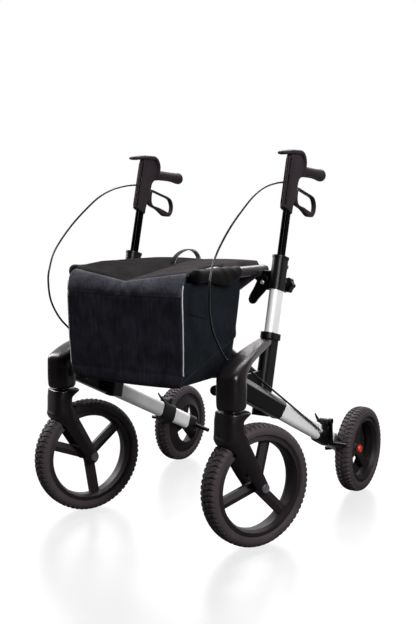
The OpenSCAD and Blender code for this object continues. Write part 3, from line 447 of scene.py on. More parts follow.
def powder_coat():
    """Powder-coated steel rails and arms: grey-black with an orange-peel skin of about 2 mm."""
    return finish("powder-coated steel", "#201d20", "#322e33", 0.36, 2.0, 0.02)


def cable_sheath():
    """Extruded PVC cable sheath, smooth black."""
    return finish("PVC cable sheath", "#030304", "#080809", 0.32, 2.0, 0.005)


def cloth(name, dark, light, thread_mm, roughness, slub_mm=40.0, sheen=0.02, gloss=0.15):
    """Woven polyester: warp and weft waves of a thread spacing for the height, slubs along z and broad
    patches for the colour."""
    material = bpy.data.materials.get(name)
    if material:
        return material
    material = bpy.data.materials.new(name)
    material.use_nodes = True
    tree = material.node_tree
    shader = tree.nodes["Principled BSDF"]
    place = add(tree, "ShaderNodeTexCoord")
    slub_space = add(tree, "ShaderNodeMapping", {"Vector": (place, "Object"), "Scale": (1, 1, 3.0 / slub_mm)})
    slub = add(tree, "ShaderNodeTexNoise", {"Vector": (slub_space, 0), "Scale": 1000 / 3.0, "Detail": 3.0})
    cloud = add(tree, "ShaderNodeTexNoise", {"Vector": (place, "Object"), "Scale": 22.0, "Detail": 3.0})
    mottle = add(tree, "ShaderNodeMath", {0: (slub, 0), 1: (cloud, 0)}, operation="MULTIPLY")
    shade = add(tree, "ShaderNodeMapRange", {"Value": (mottle, 0), "From Min": 0.12, "From Max": 0.42})
    tone = add(tree, "ShaderNodeMix", {0: (shade, 0), 6: linear(dark), 7: linear(light)}, data_type="RGBA")
    # A wave node at scale 1 repeats every 2 pi / 20 of a unit
    threads = 2 * math.pi / 20 * 1000 / thread_mm
    warp, weft = (add(tree, "ShaderNodeTexWave", {
        "Vector": (place, "Object"), "Scale": threads, "Distortion": 0.6, "Detail": 1.0},
        bands_direction=way) for way in ("DIAGONAL", "Z"))
    weave = add(tree, "ShaderNodeMath", {0: (warp, 1), 1: (weft, 1)}, operation="MULTIPLY")
    height = add(tree, "ShaderNodeBump", {"Height": (weave, 0), "Distance": 0.0003, "Strength": 0.8})
    folds = add(tree, "ShaderNodeBump", {
        "Height": (cloud, 0), "Distance": 0.004, "Strength": 0.6, "Normal": (height, 0)})
    tree.links.new(tone.outputs[2], shader.inputs["Base Color"])
    tree.links.new(folds.outputs[0], shader.inputs["Normal"])
    shader.inputs["Roughness"].default_value = roughness
    shader.inputs["Specular IOR Level"].default_value = gloss
    shader.inputs["Sheen Weight"].default_value = sheen
    shader.inputs["Sheen Roughness"].default_value = 0.4
    return material


def bag_cloth():
    """Coarse mottled polyester of the bag, drawn with 3 mm threads so that they show."""
    return cloth("mottled polyester", colours().bag_dark, colours().bag_light, 3.0, 0.85)


def band_cloth_painted_light():
    """The same polyester, paler, on the band over the front's seam: painted light, for the band that tilts up
    towards the top light.
    """
    return cloth("mottled polyester, painted top light", "#2d2d34", "#52525d", 3.0, 0.85, slub_mm=18.0)


def gusset_cloth():
    """Smoother navy side panels of the bag."""
    return cloth("navy polyester", "#080b0f", "#151b23", 2.5, 0.8, slub_mm=12.0)


def seat_cloth():
    """PU-coated seat fabric, fine weave, dull. This darker copy stays on the far half of the seat and lid;
    its difference from the near half's copy is painted shade."""
    return cloth("coated seat fabric", "#252324", "#323031", 2.5, 0.6, slub_mm=10.0, sheen=0.0, gloss=0.0)


def seat_cloth_painted_light():
    """The same fabric, lighter and browner, on the near half of the seat and lid: painted light, for the half
    that tilts towards the main light.
    """
    return cloth("coated seat fabric, painted light", colours().seat_lit_dark, colours().seat_lit_light, 2.5, 0.6,
                 slub_mm=10.0, sheen=0.0, gloss=0.0)


def binding():
    """Woven tape along the mouths of the side pockets: black, with a dull shine."""
    return cloth("binding tape", "#08080a", "#16161a", 2.0, 0.55, slub_mm=6.0)


def webbing():
    """Woven black webbing of the pull loop and of the sleeves on the rails."""
    return cloth("black webbing", "#040405", "#0c0c0e", 2.0, 0.75, slub_mm=6.0)


def webbing_back():
    """Undyed back of the pull loop."""
    return cloth("undyed webbing", "#8d8880", "#b8b2a8", 2.0, 0.8, slub_mm=6.0)


def reflective_piping():
    """Reflective grey piping along the bag's front edges."""
    return finish("reflective piping", "#a9acb0", "#dfe2e5", 0.38, 2.0, 0.02)


NODE_FINISH = {
    "lower_tube": anodised, "upright_tube": anodised, "upright_foot": nylon, "upright_collar": nylon,
    "rail_saddle": nylon, "hinge_rod": nylon, "brake_clamp": nylon, "axle_carrier": nylon,
    "rear_axle": turned_steel, "brake_arm": nylon, "height_knob": nylon, "handle_post": gloss_post,
    "lever_pin": turned_steel, "caster_stem": turned_steel, "front_axle": axle_cap_grey,
    "front_rim": front_rim_nylon, "rear_rim": rim_nylon, "rear_hub_cap": red_cap,
    "seat_rail": powder_coat, "cross_arm": powder_coat,
}


# What a user would change

class RollatorSizes(bpy.types.PropertyGroup):
    """Camera, cables and lugs"""
    camera_azimuth: bpy.props.FloatProperty(
        name="Camera azimuth", description="Turn of the camera from the front towards the left side",
        default=math.radians(33.09), subtype="ANGLE")
    camera_height: bpy.props.FloatProperty(
        name="Camera elevation", description="Rise of the camera over the horizon",
        default=math.radians(7.76), subtype="ANGLE")
    camera_distance: bpy.props.FloatProperty(
        name="Camera distance", description="From the camera to its target",
        default=2.462, unit="LENGTH")
    camera_lens: bpy.props.FloatProperty(
        name="Lens", description="Focal length on a 36 mm frame",
        default=53.515, unit="CAMERA")
    cable_width: bpy.props.FloatProperty(
        name="Cable", description="Diameter of the brake cables",
        default=0.005, unit="LENGTH")
    lug_height: bpy.props.FloatProperty(
        name="Lugs", description="Height of the tyre lugs",
        default=0.0034, unit="LENGTH")


class RollatorColours(bpy.types.PropertyGroup):
    """Hex codes of the main tones"""
    abs_dark: bpy.props.StringProperty(
        name="Housing, dark", description="Darker tone of the moulded housings",
        default="#0d0a0c")
    abs_light: bpy.props.StringProperty(
        name="Housing, light", description="Lighter tone of the moulded housings",
        default="#191517")
    bag_dark: bpy.props.StringProperty(
        name="Bag, dark", description="Darker threads of the bag",
        default="#16161d")
    bag_light: bpy.props.StringProperty(
        name="Bag, light", description="Lighter threads of the bag",
        default="#33333f")
    # Tones of the near half of the seat and lid; their lightness over the far half is painted light
    seat_lit_dark: bpy.props.StringProperty(
        name="Seat, dark", description="Darker tone of the seat",
        default="#363335")
    seat_lit_light: bpy.props.StringProperty(
        name="Seat, light", description="Lighter tone of the seat",
        default="#454244")


# Stage and cords

def lit_acrylic():
    """White acrylic floor lit from below: seamless white, with a faint, soft reflection near the object."""
    material = bpy.data.materials.new("white lit acrylic")
    material.use_nodes = True
    tree = material.node_tree
    place = add(tree, "ShaderNodeTexCoord")
    haze = add(tree, "ShaderNodeTexNoise", {"Vector": (place, "Object"), "Scale": 9.0})
    rough = add(tree, "ShaderNodeMapRange", {"Value": (haze, 0), "To Min": 0.28, "To Max": 0.32})
    glow = add(tree, "ShaderNodeEmission", {"Color": (1, 1, 1, 1), "Strength": 1.02})
    gloss = add(tree, "ShaderNodeBsdfGlossy", {"Color": (1, 1, 1, 1), "Roughness": (rough, 0)})
    reach = add(tree, "ShaderNodeVectorMath", {0: (place, "Object")}, operation="LENGTH")
    near = add(tree, "ShaderNodeMapRange", {
        "Value": (reach, "Value"), "From Min": 1.1, "From Max": 2.2, "To Min": 0.21, "To Max": 0.0},
        interpolation_type="SMOOTHSTEP")
    seen = add(tree, "ShaderNodeMixShader", {0: (near, 0), 1: (glow, 0), 2: (gloss, 0)})
    # As a light, the floor is dim, apart from the lit sweep behind the object
    matt = add(tree, "ShaderNodeBsdfDiffuse", {"Color": (0.08, 0.08, 0.08, 1)})
    sweep = add(tree, "ShaderNodeEmission", {"Color": (1, 1, 1, 1), "Strength": 1.0})
    way = add(tree, "ShaderNodeVectorMath", {0: (place, "Object")}, operation="NORMALIZE")
    behind = add(tree, "ShaderNodeVectorMath", {0: (way, 0), 1: BEHIND}, operation="DOT_PRODUCT")
    wide = add(tree, "ShaderNodeMapRange", {"Value": (behind, "Value"), "From Min": 0.45, "From Max": 0.8})
    far = add(tree, "ShaderNodeMapRange", {"Value": (reach, "Value"), "From Min": 0.7, "From Max": 1.4})
    share = add(tree, "ShaderNodeMath", {0: (wide, 0), 1: (far, 0)}, operation="MULTIPLY")
    unseen = add(tree, "ShaderNodeMixShader", {0: (share, 0), 1: (matt, 0), 2: (sweep, 0)})
    rays = add(tree, "ShaderNodeLightPath")
    both = add(tree, "ShaderNodeMixShader", {0: (rays, "Is Camera Ray"), 1: (unseen, 0), 2: (seen, 0)})
    tree.links.new(both.outputs[0], tree.nodes["Material Output"].inputs["Surface"])
    return material


class ROLLATOR_OT_stage(bpy.types.Operator):
    """Camera, studio lights and pale floor"""
    bl_idname = "rollator.stage"
    bl_label = "Stage"

    def execute(self, context):
        s = sizes()
        scene = context.scene
        target = Vector(world([0, 279.4, 450]))
        back = Vector((math.sin(s.camera_azimuth) * math.cos(s.camera_height),
                       -math.cos(s.camera_azimuth) * math.cos(s.camera_height), math.sin(s.camera_height)))
        data = bpy.data.cameras.new("camera")
        data.lens = s.camera_lens
        data.sensor_width = 36
        data.shift_x, data.shift_y = 0.0056, 0.0407
        camera = bpy.data.objects.new("camera", data)
        camera.location = target + back * s.camera_distance
        camera.rotation_euler = back.to_track_quat("Z", "Y").to_euler()
        scene.collection.objects.link(camera)
        scene.camera = camera
        for name, place, width, height, power in (
                ("overhead softbox", (-0.64, 1.35, 2.35), 2.0, 1.6, 84),
                ("left softbox", (-2.4, -0.3, 1.9), 0.8, 1.8, 84),
                ("right softbox", (2.4, -1.0, 1.8), 0.6, 1.6, 78)):
            light = bpy.data.lights.new(name, "AREA")
            light.shape, light.size, light.size_y, light.energy = "RECTANGLE", width, height, power
            lamp = bpy.data.objects.new(name, light)
            lamp.location = place
            lamp.rotation_euler = (Vector(place) - Vector((0, 0, 0.45))).to_track_quat("Z", "Y").to_euler()
            scene.collection.objects.link(lamp)
        # White to the camera; as a light, a pale sweep behind and above the object that fades to a dim room
        # in front
        sky = bpy.data.worlds.new("studio")
        sky.use_nodes = True
        tree = sky.node_tree
        seen = tree.nodes["Background"]
        seen.inputs["Color"].default_value = (1, 1, 1, 1)
        seen.inputs["Strength"].default_value = 1.0
        place = add(tree, "ShaderNodeTexCoord")
        towards = add(tree, "ShaderNodeVectorMath", {0: (place, "Generated"), 1: (-0.45, 0.7, 0.55)},
                      operation="DOT_PRODUCT")
        ramp = add(tree, "ShaderNodeMapRange", {
            "Value": (towards, "Value"), "From Min": -0.6, "From Max": 0.9, "To Min": 0.02, "To Max": 0.24})
        split = add(tree, "ShaderNodeSeparateXYZ", {0: (place, "Generated")})
        low = add(tree, "ShaderNodeMapRange", {
            "Value": (split, 2), "From Min": 0.6, "From Max": 0.42, "To Min": 0.0, "To Max": 1.1})
        behind = add(tree, "ShaderNodeVectorMath", {0: (place, "Generated"), 1: BEHIND},
                     operation="DOT_PRODUCT")
        back = add(tree, "ShaderNodeMapRange",
                   {"Value": (behind, "Value"), "From Min": 0.45, "From Max": 0.8})
        strength = add(tree, "ShaderNodeMath", {0: (low, 0), 1: (back, 0), 2: (ramp, 0)},
                       operation="MULTIPLY_ADD")
        lit = add(tree, "ShaderNodeBackground", {"Strength": (strength, 0), "Color": (1, 0.99, 0.985, 1)})
        rays = add(tree, "ShaderNodeLightPath")
        both = add(tree, "ShaderNodeMixShader", {0: (rays, "Is Camera Ray"), 1: (lit, 0), 2: (seen, 0)})
        tree.links.new(both.outputs[0], tree.nodes["World Output"].inputs["Surface"])
        scene.world = sky
        scene.view_settings.view_transform = "Standard"
        edge = np.linspace(-1, 1, 9) * 9000
        gx, gy = np.meshgrid(edge, edge)
        floor = piece("studio_floor", np.stack([gx, gy, 0 * gx - 0.4], -1), lit_acrylic(), wrap_cols=False,
                      closed=False)
        return {"FINISHED"}


CABLE_ROUTE = [
    (229, 289, 853), (230, 249, 850), (231, 193, 840), (233, 140, 821), (234, 90, 792), (235, 23, 744),
    (236, -35, 688), (236, -57, 644), (236, -63, 611), (233, -58, 563), (226, -34, 517), (217, 5, 478),
    (212, 40, 446), (220, 63, 427), (243, 89, 415), (259, 143, 375), (269, 215, 328), (273, 306, 273),
    (273.5, 365, 239), (274, 424, 204)]


class ROLLATOR_OT_cables(bpy.types.Operator):
    """Brake cables in their wide loops from the handles to the brake clamps"""
    bl_idname = "rollator.cables"
    bl_label = "Brake cables"

    def execute(self, context):
        width = sizes().cable_width
        path = smooth(CABLE_ROUTE, 8)
        for name, side in SIDES.items():
            cable = piece(f"{name}_brake_cable_sheath", tube_rings(path, width * 500, 12), cable_sheath(),
                          side=side)
            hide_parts(f"{name}_brake_cable")
            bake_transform(cable)
        return {"FINISHED"}


# Frame

class ROLLATOR_OT_frame_finish(bpy.types.Operator):
    """Gives each CAD node that shows its own finish"""
    bl_idname = "rollator.frame_finish"
    bl_label = "Frame finishes"

    def execute(self, context):
        for node, made in frame["nodes"].items():
            kind = node.split("_", 1)[1] if node.split("_")[0] in SIDES else node
            use = NODE_FINISH.get(kind, turned_steel)()
            made.data.materials.clear()
            made.data.materials.append(use)
        return {"FINISHED"}


def head_and_arm():
    """Steering head and arm as one skin of superellipse rings. The rings of the head lie flat. In the bend
    they turn about a line behind the head, and each reaches out to the nearer of the flat front and the top,
    a parabola that falls towards the front, with a round crest where the two meet. Along the arm they stand
    upright. Every ring has its middle in y and z, its half width, its half depth and the direction of its
    depth."""
    z, half = smooth([(334, 23.5), (335, 26.4), (337.5, 28.8), (342, 30.3), (350, 31), (365, 31.4),
                      (382, 31.3), (392, 31)], 4).T
    flat = np.stack([0 * z, z, half, half, 0 * z - 1, 0 * z], -1)
    turn = np.radians(np.linspace(0, 90, 34)[1:])
    way = np.stack([-np.cos(turn), np.sin(turn)], -1)
    fall, arc = np.sin(turn) + 0.3 * np.cos(turn), 0.0018 * np.cos(turn) ** 2
    # From the line that the bend turns about to the flat front, and to the top over it
    line, ahead, above = np.array([40.0, 392.0]), 71.0, 56.0
    front = ahead / np.maximum(np.cos(turn), 1e-3)
    top = 2 * above / (fall + np.sqrt(fall ** 2 + 4 * above * arc))
    far = (front ** -14 + top ** -14) ** (-1 / 14)
    near = 9 + 14.5 * turn / turn[-1]
    middle = line + way * ((far + near) / 2)[:, None]
    bend = np.column_stack([middle, 31 - 2 * (turn / turn[-1]) ** 2, (far - near) / 2, way])
    y, z, a, b = smooth([(40, 431.75, 29, 16.25), (52, 437.1, 28.2, 14.1), (64, 441.5, 27, 12.6),
                         (112, 452.1, 23, 12.1), (174, 462.5, 19, 10.5), (200, 466.1, 17, 9.7)], 5)[1:].T
    arm = np.stack([y, z, a, b, 0 * y, 0 * y + 1], -1)
    y, z, a, b, ey, ez = np.vstack([flat, bend, arm]).T[:, :, None]
    u, v = round_table(3.2, 72)
    x = CASTER_X + (UPRIGHT_X - CASTER_X) * np.clip(y / 200, 0, 1) ** 1.15
    return np.stack([x + a * u, y + b * v * ey, z + b * v * ez], -1)


class ROLLATOR_OT_front_housings(bpy.types.Operator):
    """Steering heads with their swept arms and the sleeves on the lower tubes"""
    bl_idname = "rollator.front_housings"
    bl_label = "Front housings"

    def execute(self, context):
        moulding = head_and_arm()
        # Sleeve: rings along the lower tube whose end slants back from top to bottom. Distance from the end,
        # half depth, half width
        rows = smooth([(0, 22.5, 11.5), (1.2, 24.6, 13.2), (4, 25.7, 14.2), (10, 26, 14.5), (60, 26, 14.5),
                       (222, 26, 14.5)], 4)
        u, v = round_table(5, 96)
        slant = 11 * np.clip(1 - rows[:, :1] / 120, 0, 1)
        start = 419
        sleeve = np.stack([rows[:, 2:] * u, rows[:, 1:2] * v, start + rows[:, :1] - slant * v], -1)
        # A broad bevel takes off its upper outer edge
        bevel = np.array([0.8, 0.6, 0])
        sleeve -= np.maximum(sleeve @ bevel - 18.6, 0)[..., None] * bevel
        sleeve = on_lower_tube(sleeve)
        lug = tube_rings([(198, k, 370) for k in (16.5, 17, 18, 25, 33)], [10.5, 11.5, 12, 12, 12], 32)
        for name, side in SIDES.items():
            dress(piece(f"{name}_front_moulding", moulding, moulded_abs(), side=side), f"{name}_frame",
                  "moulded_black", f"{name}_front_housing")
            # The sleeves get the near-black ABS copy, whose darkness is painted shade
            dress(piece(f"{name}_tube_sleeve", sleeve, sleeve_abs_painted_shade(), side=side), f"{name}_frame",
                  "moulded_black")
            dress(piece(f"{name}_rod_lug", lug, moulded_abs(), side=side), f"{name}_frame", "moulded_black")
        return {"FINISHED"}


class ROLLATOR_OT_brake_clamps(bpy.types.Operator):
    """Brake clamps on the lower tubes with their horns, the cable ends, and the bolted cheeks of the rail
    rests"""
    bl_idname = "rollator.brake_clamps"
    bl_label = "Brake clamps"

    def execute(self, context):
        # Band: rings along the tube. Distance, half width, half depth
        t, a, b = smooth([(128.5, 13.4, 24.6), (129.5, 14.8, 26), (132, 15.8, 26.8), (160, 16, 27),
                          (188, 15.8, 26.8), (190.5, 14.8, 26), (191.5, 13.4, 24.6)], 4).T
        band = flat_rings(0, 0, t, a, b, 3.2, 64)
        # Lug of the brake's pin: rounded rings across the tube. Place, share of the full size
        x, share = smooth([(-12, 0.7), (-11, 0.92), (-8, 1), (12, 1), (15, 0.92), (15.8, 0.7)], 3).T
        lug = flat_rings(31, 160, x, 12 * share, 9.5 * share, 2.4, 40)[..., [2, 0, 1]]
        # Horn: bends up and forwards to a thin tip. Height over the axis, distance, radius
        n, t, r = smooth([(20, 182, 5), (26, 189, 5), (30.5, 197, 4.2), (34, 207, 3.3), (38, 216, 2.5),
                          (41, 221.5, 1.7)], 4).T
        horn = tube_rings(np.stack([0 * n, n, t], -1), r, 20)
        # Cable stop and its bright end, which turn about the cable's last stretch
        way = np.array(CABLE_ROUTE[-2], float) - CABLE_ROUTE[-1]
        way /= np.linalg.norm(way)
        k, r = smooth([(-26, 5.5), (-25, 6.8), (-22, 7.2), (-9, 7), (-7.5, 5.8)], 3).T
        stop = tube_rings(CABLE_ROUTE[-1] + k[:, None] * way, r, 24)
        k, r = smooth([(-8, 2.9), (-6, 4.8), (-2, 5.4), (2, 4.9), (4.5, 3.4), (5.5, 2.7)], 4).T
        end = tube_rings(CABLE_ROUTE[-1] + k[:, None] * way, r, 24)
        # Cheek in front of the rail rest: a plate with a lobe round the bolt and a tongue. Place along y,
        # share of its size
        y, share = smooth([(243.5, 0.8), (244, 0.92), (245.5, 0.99), (249.3, 1)], 3).T
        lobes = smooth_loop([
            (212, 608), (208, 621), (194, 625), (181, 615), (170, 594), (158, 574),
            (154, 561), (160, 552), (172, 553), (183, 566), (197, 580), (209, 595)], 6) - [186, 590]
        lobes = np.stack([lobes[:, 0], 0 * lobes[:, 0], lobes[:, 1]], -1)
        cheek = lobes[None] * share[:, None, None] + np.stack([0 * y + 186, y, 0 * y + 590], -1)[:, None]
        bolt = turned([(0, 0), (4.6, 0), (5.4, 1), (5.4, 2.4), (4.6, 3.2), (2.4, 3.3), (2.2, 2.2), (0, 2.2)],
                      32)
        bolt = bolt[..., [0, 2, 1]] * [1, -1, 1] + [195, 243.8, 607]
        for name, side in SIDES.items():
            for label, grid, cover, slot, nodes in (
                    ("clamp_band", on_lower_tube(band), nylon, "dark_plastic", (f"{name}_brake_clamp",)),
                    ("brake_lug", on_lower_tube(lug), nylon, "dark_plastic", ()),
                    ("cable_horn", on_lower_tube(horn), nylon, "dark_plastic", ()),
                    ("cable_stop", stop, nylon, "dark_plastic", ()),
                    ("cable_end", end, bright_zinc, "steel", ()),
                    ("rail_rest_cheek", cheek, nylon, "dark_plastic", ()),
                    ("rail_rest_bolt", bolt, bright_zinc, "steel", ())):
                dress(piece(f"{name}_{label}", grid, cover(), side=side), f"{name}_frame", slot, *nodes)
        return {"FINISHED"}


class ROLLATOR_OT_forks(bpy.types.Operator):
    """Caster forks: a lofted hood and legs with room cut for the wheel"""
    bl_idname = "rollator.forks"
    bl_label = "Caster forks"

    def execute(self, context):
        # Height, middle, half width, half depth, power across, power along; a low power along leaves a ridge
        # on the leg
        z, y, a, b, p, q = smooth([
            (129, 71, 34, 9, 3.4, 1.8), (134, 70.6, 36.7, 19, 3.6, 1.7), (147, 69, 38, 26, 4, 1.55),
            (170, 55.4, 38.6, 29.5, 4, 1.45), (199, 38.3, 39, 32, 4, 1.4), (236, 16.3, 39, 35, 4, 1.4),
            (263, 0, 38.6, 35.5, 3.6, 1.9), (276, -3.6, 38.2, 30, 3.5, 2.7),
            (290, -6.4, 37.4, 25.8, 3.4, 3.2), (309, -6.6, 37, 25, 3.4, 3.4),
            (318, -1.5, 36.9, 29.5, 3.4, 3.4), (325, 4, 36.7, 35, 3.4, 3.4), (328.5, 4.2, 36, 35, 3.4, 3.4),
            (330, 3.4, 34.5, 33, 3.4, 3.4)], 6).T
        rings = flat_rings(0, y, z, a, b, p, 96, q)
        room = turned([(0, -31), (120, -31), (134, -29.5), (145, -24), (151, -14), (152, 0), (151, 14),
                       (145, 24), (134, 29.5), (120, 31), (0, 31)], 120)[..., [2, 1, 0]] + FRONT_HUB
        # Rings round the heads of the axle, one on each leg
        ring = turned([(8.2, 36), (8.2, 40.4), (9.3, 41), (10.4, 40.3), (11, 38.8), (11, 36)], 48)
        ring = ring[..., [2, 1, 0]]
        rings_out = [ring + FRONT_HUB, ring * [-1, 1, 1] + FRONT_HUB]
        for name, side in SIDES.items():
            caps = piece(f"{name}_axle_cap_rings", [on_caster(grid, side) for grid in rings_out],
                         axle_cap_grey(), wrap_rows=True)
            dress(caps, f"{name}_caster", "dark_plastic")
            fork = piece(f"{name}_fork_moulding", on_caster(rings, side), moulded_abs())
            cutter = piece("wheel room", on_caster(room, side), moulded_abs(), ends=False)
            dress(cut(fork, [cutter], 40), f"{name}_caster", "moulded_black", f"{name}_caster_fork")
        return {"FINISHED"}


# Wheels

def tread(radius, half, tyre_height, lugs, lug_height, gap):
    """Tyre surface on a grid of place around and place across. Across, the carcass is a rounded arch with a
    smooth sidewall. Around, lugs rise by a steep step over each pitch apart from a gap, which is a share of
    it; the rows are sheared so that they stagger and slant away from a plain groove in the middle."""
    across = np.concatenate([np.linspace(-1.14, -0.9, 6)[:-1], np.linspace(-0.9, -0.12, 13), [-0.07, 0, 0.07],
                             np.linspace(0.12, 0.9, 13), np.linspace(0.9, 1.14, 6)[1:]])
    step = np.array([0.0, 0.05, 0.1, 0.3, 0.95 - gap, 1.0 - gap, 1.05 - gap, 1.05 - gap / 2])
    raised = np.array([0.0, 0.25, 1.0, 1.0, 1.0, 0.25, 0.0, 0.0])
    u = (np.arange(lugs)[:, None] + step).ravel()[:, None]
    up = np.tile(raised, lugs)[:, None]
    s = across[None]
    wing = np.where(np.abs(s) < 0.55, np.abs(s), 0.55 - 0.4 * (np.abs(s) - 0.55))
    shear = 0.27 * np.tanh(s / 0.05) + 0.9 * wing
    angle = 2 * np.pi * (u + shear) / lugs
    block = np.clip((np.abs(s) - 0.07) / 0.05, 0, 1) * np.clip((0.94 - np.abs(s)) / 0.1, 0, 1)
    arch = np.sqrt(np.clip(1 - np.minimum(np.abs(s), 1) ** 2.6, 0, 1))
    fall = np.clip(np.abs(s) - 1, 0, 1)
    carcass = radius - lug_height - tyre_height * (0.5 * (1 - arch) + 1.9 * fall)
    wide = half * np.sign(s) * np.minimum(np.abs(s), 1) ** 0.92 * (1 - 0.25 * fall)
    r = carcass + lug_height * up * block
    outside = np.stack([r * np.cos(angle), r * np.sin(angle), wide + 0 * r], -1)
    inner = radius - tyre_height + 0.25
    beads = [np.stack([inner * np.cos(turn), inner * np.sin(turn), k + 0 * turn], -1)[:, None]
             for k, turn in ((half * 0.8, angle[:, -1]), (half * -0.8, angle[:, 0]))]
    return np.concatenate([outside] + beads, 1)


class ROLLATOR_OT_wheels(bpy.types.Operator):
    """Lugged tyres on the CAD rims, and the dished walls of the rear wheels"""
    bl_idname = "rollator.wheels"
    bl_label = "Tyres"

    def execute(self, context):
        lug = sizes().lug_height * 1000
        front = tread(FRONT_R, 26, TYRE_DEPTH, lugs=66, lug_height=lug * 0.72, gap=0.3)[..., [2, 1, 0]]
        front += FRONT_HUB
        rear = tread(REAR_R, 23.5, TYRE_DEPTH, lugs=54, lug_height=lug * 1.15, gap=0.45)[..., [2, 1, 0]]
        rear += REAR_HUB
        # Dished inner wall of each rear wheel: a shallow cone from the rim towards the hub
        dish = turned([(81, -17), (70, -21.5), (62, -25), (59.5, -26), (59.5, -28), (62, -27.4), (70, -23.8),
                       (82, -19)], 96)
        for name, side in SIDES.items():
            bowl = piece(f"{name}_wheel_dish", dish[..., [2, 1, 0]] + REAR_HUB, rim_nylon(), wrap_rows=True,
                         side=side)
            dress(bowl, f"{name}_rear_wheel", "rim_plastic")
            tyre = piece(f"{name}_front_tread", on_caster(front, side), tyre_rubber(), wrap_rows=True,
                         crease=30)
            dress(tyre, f"{name}_front_wheel", "tread_rubber", f"{name}_front_tyre")
            tyre = piece(f"{name}_rear_tread", rear, tyre_rubber(), wrap_rows=True, crease=30, side=side)
            dress(tyre, f"{name}_rear_wheel", "tread_rubber", f"{name}_rear_tyre")
        return {"FINISHED"}


# Handles

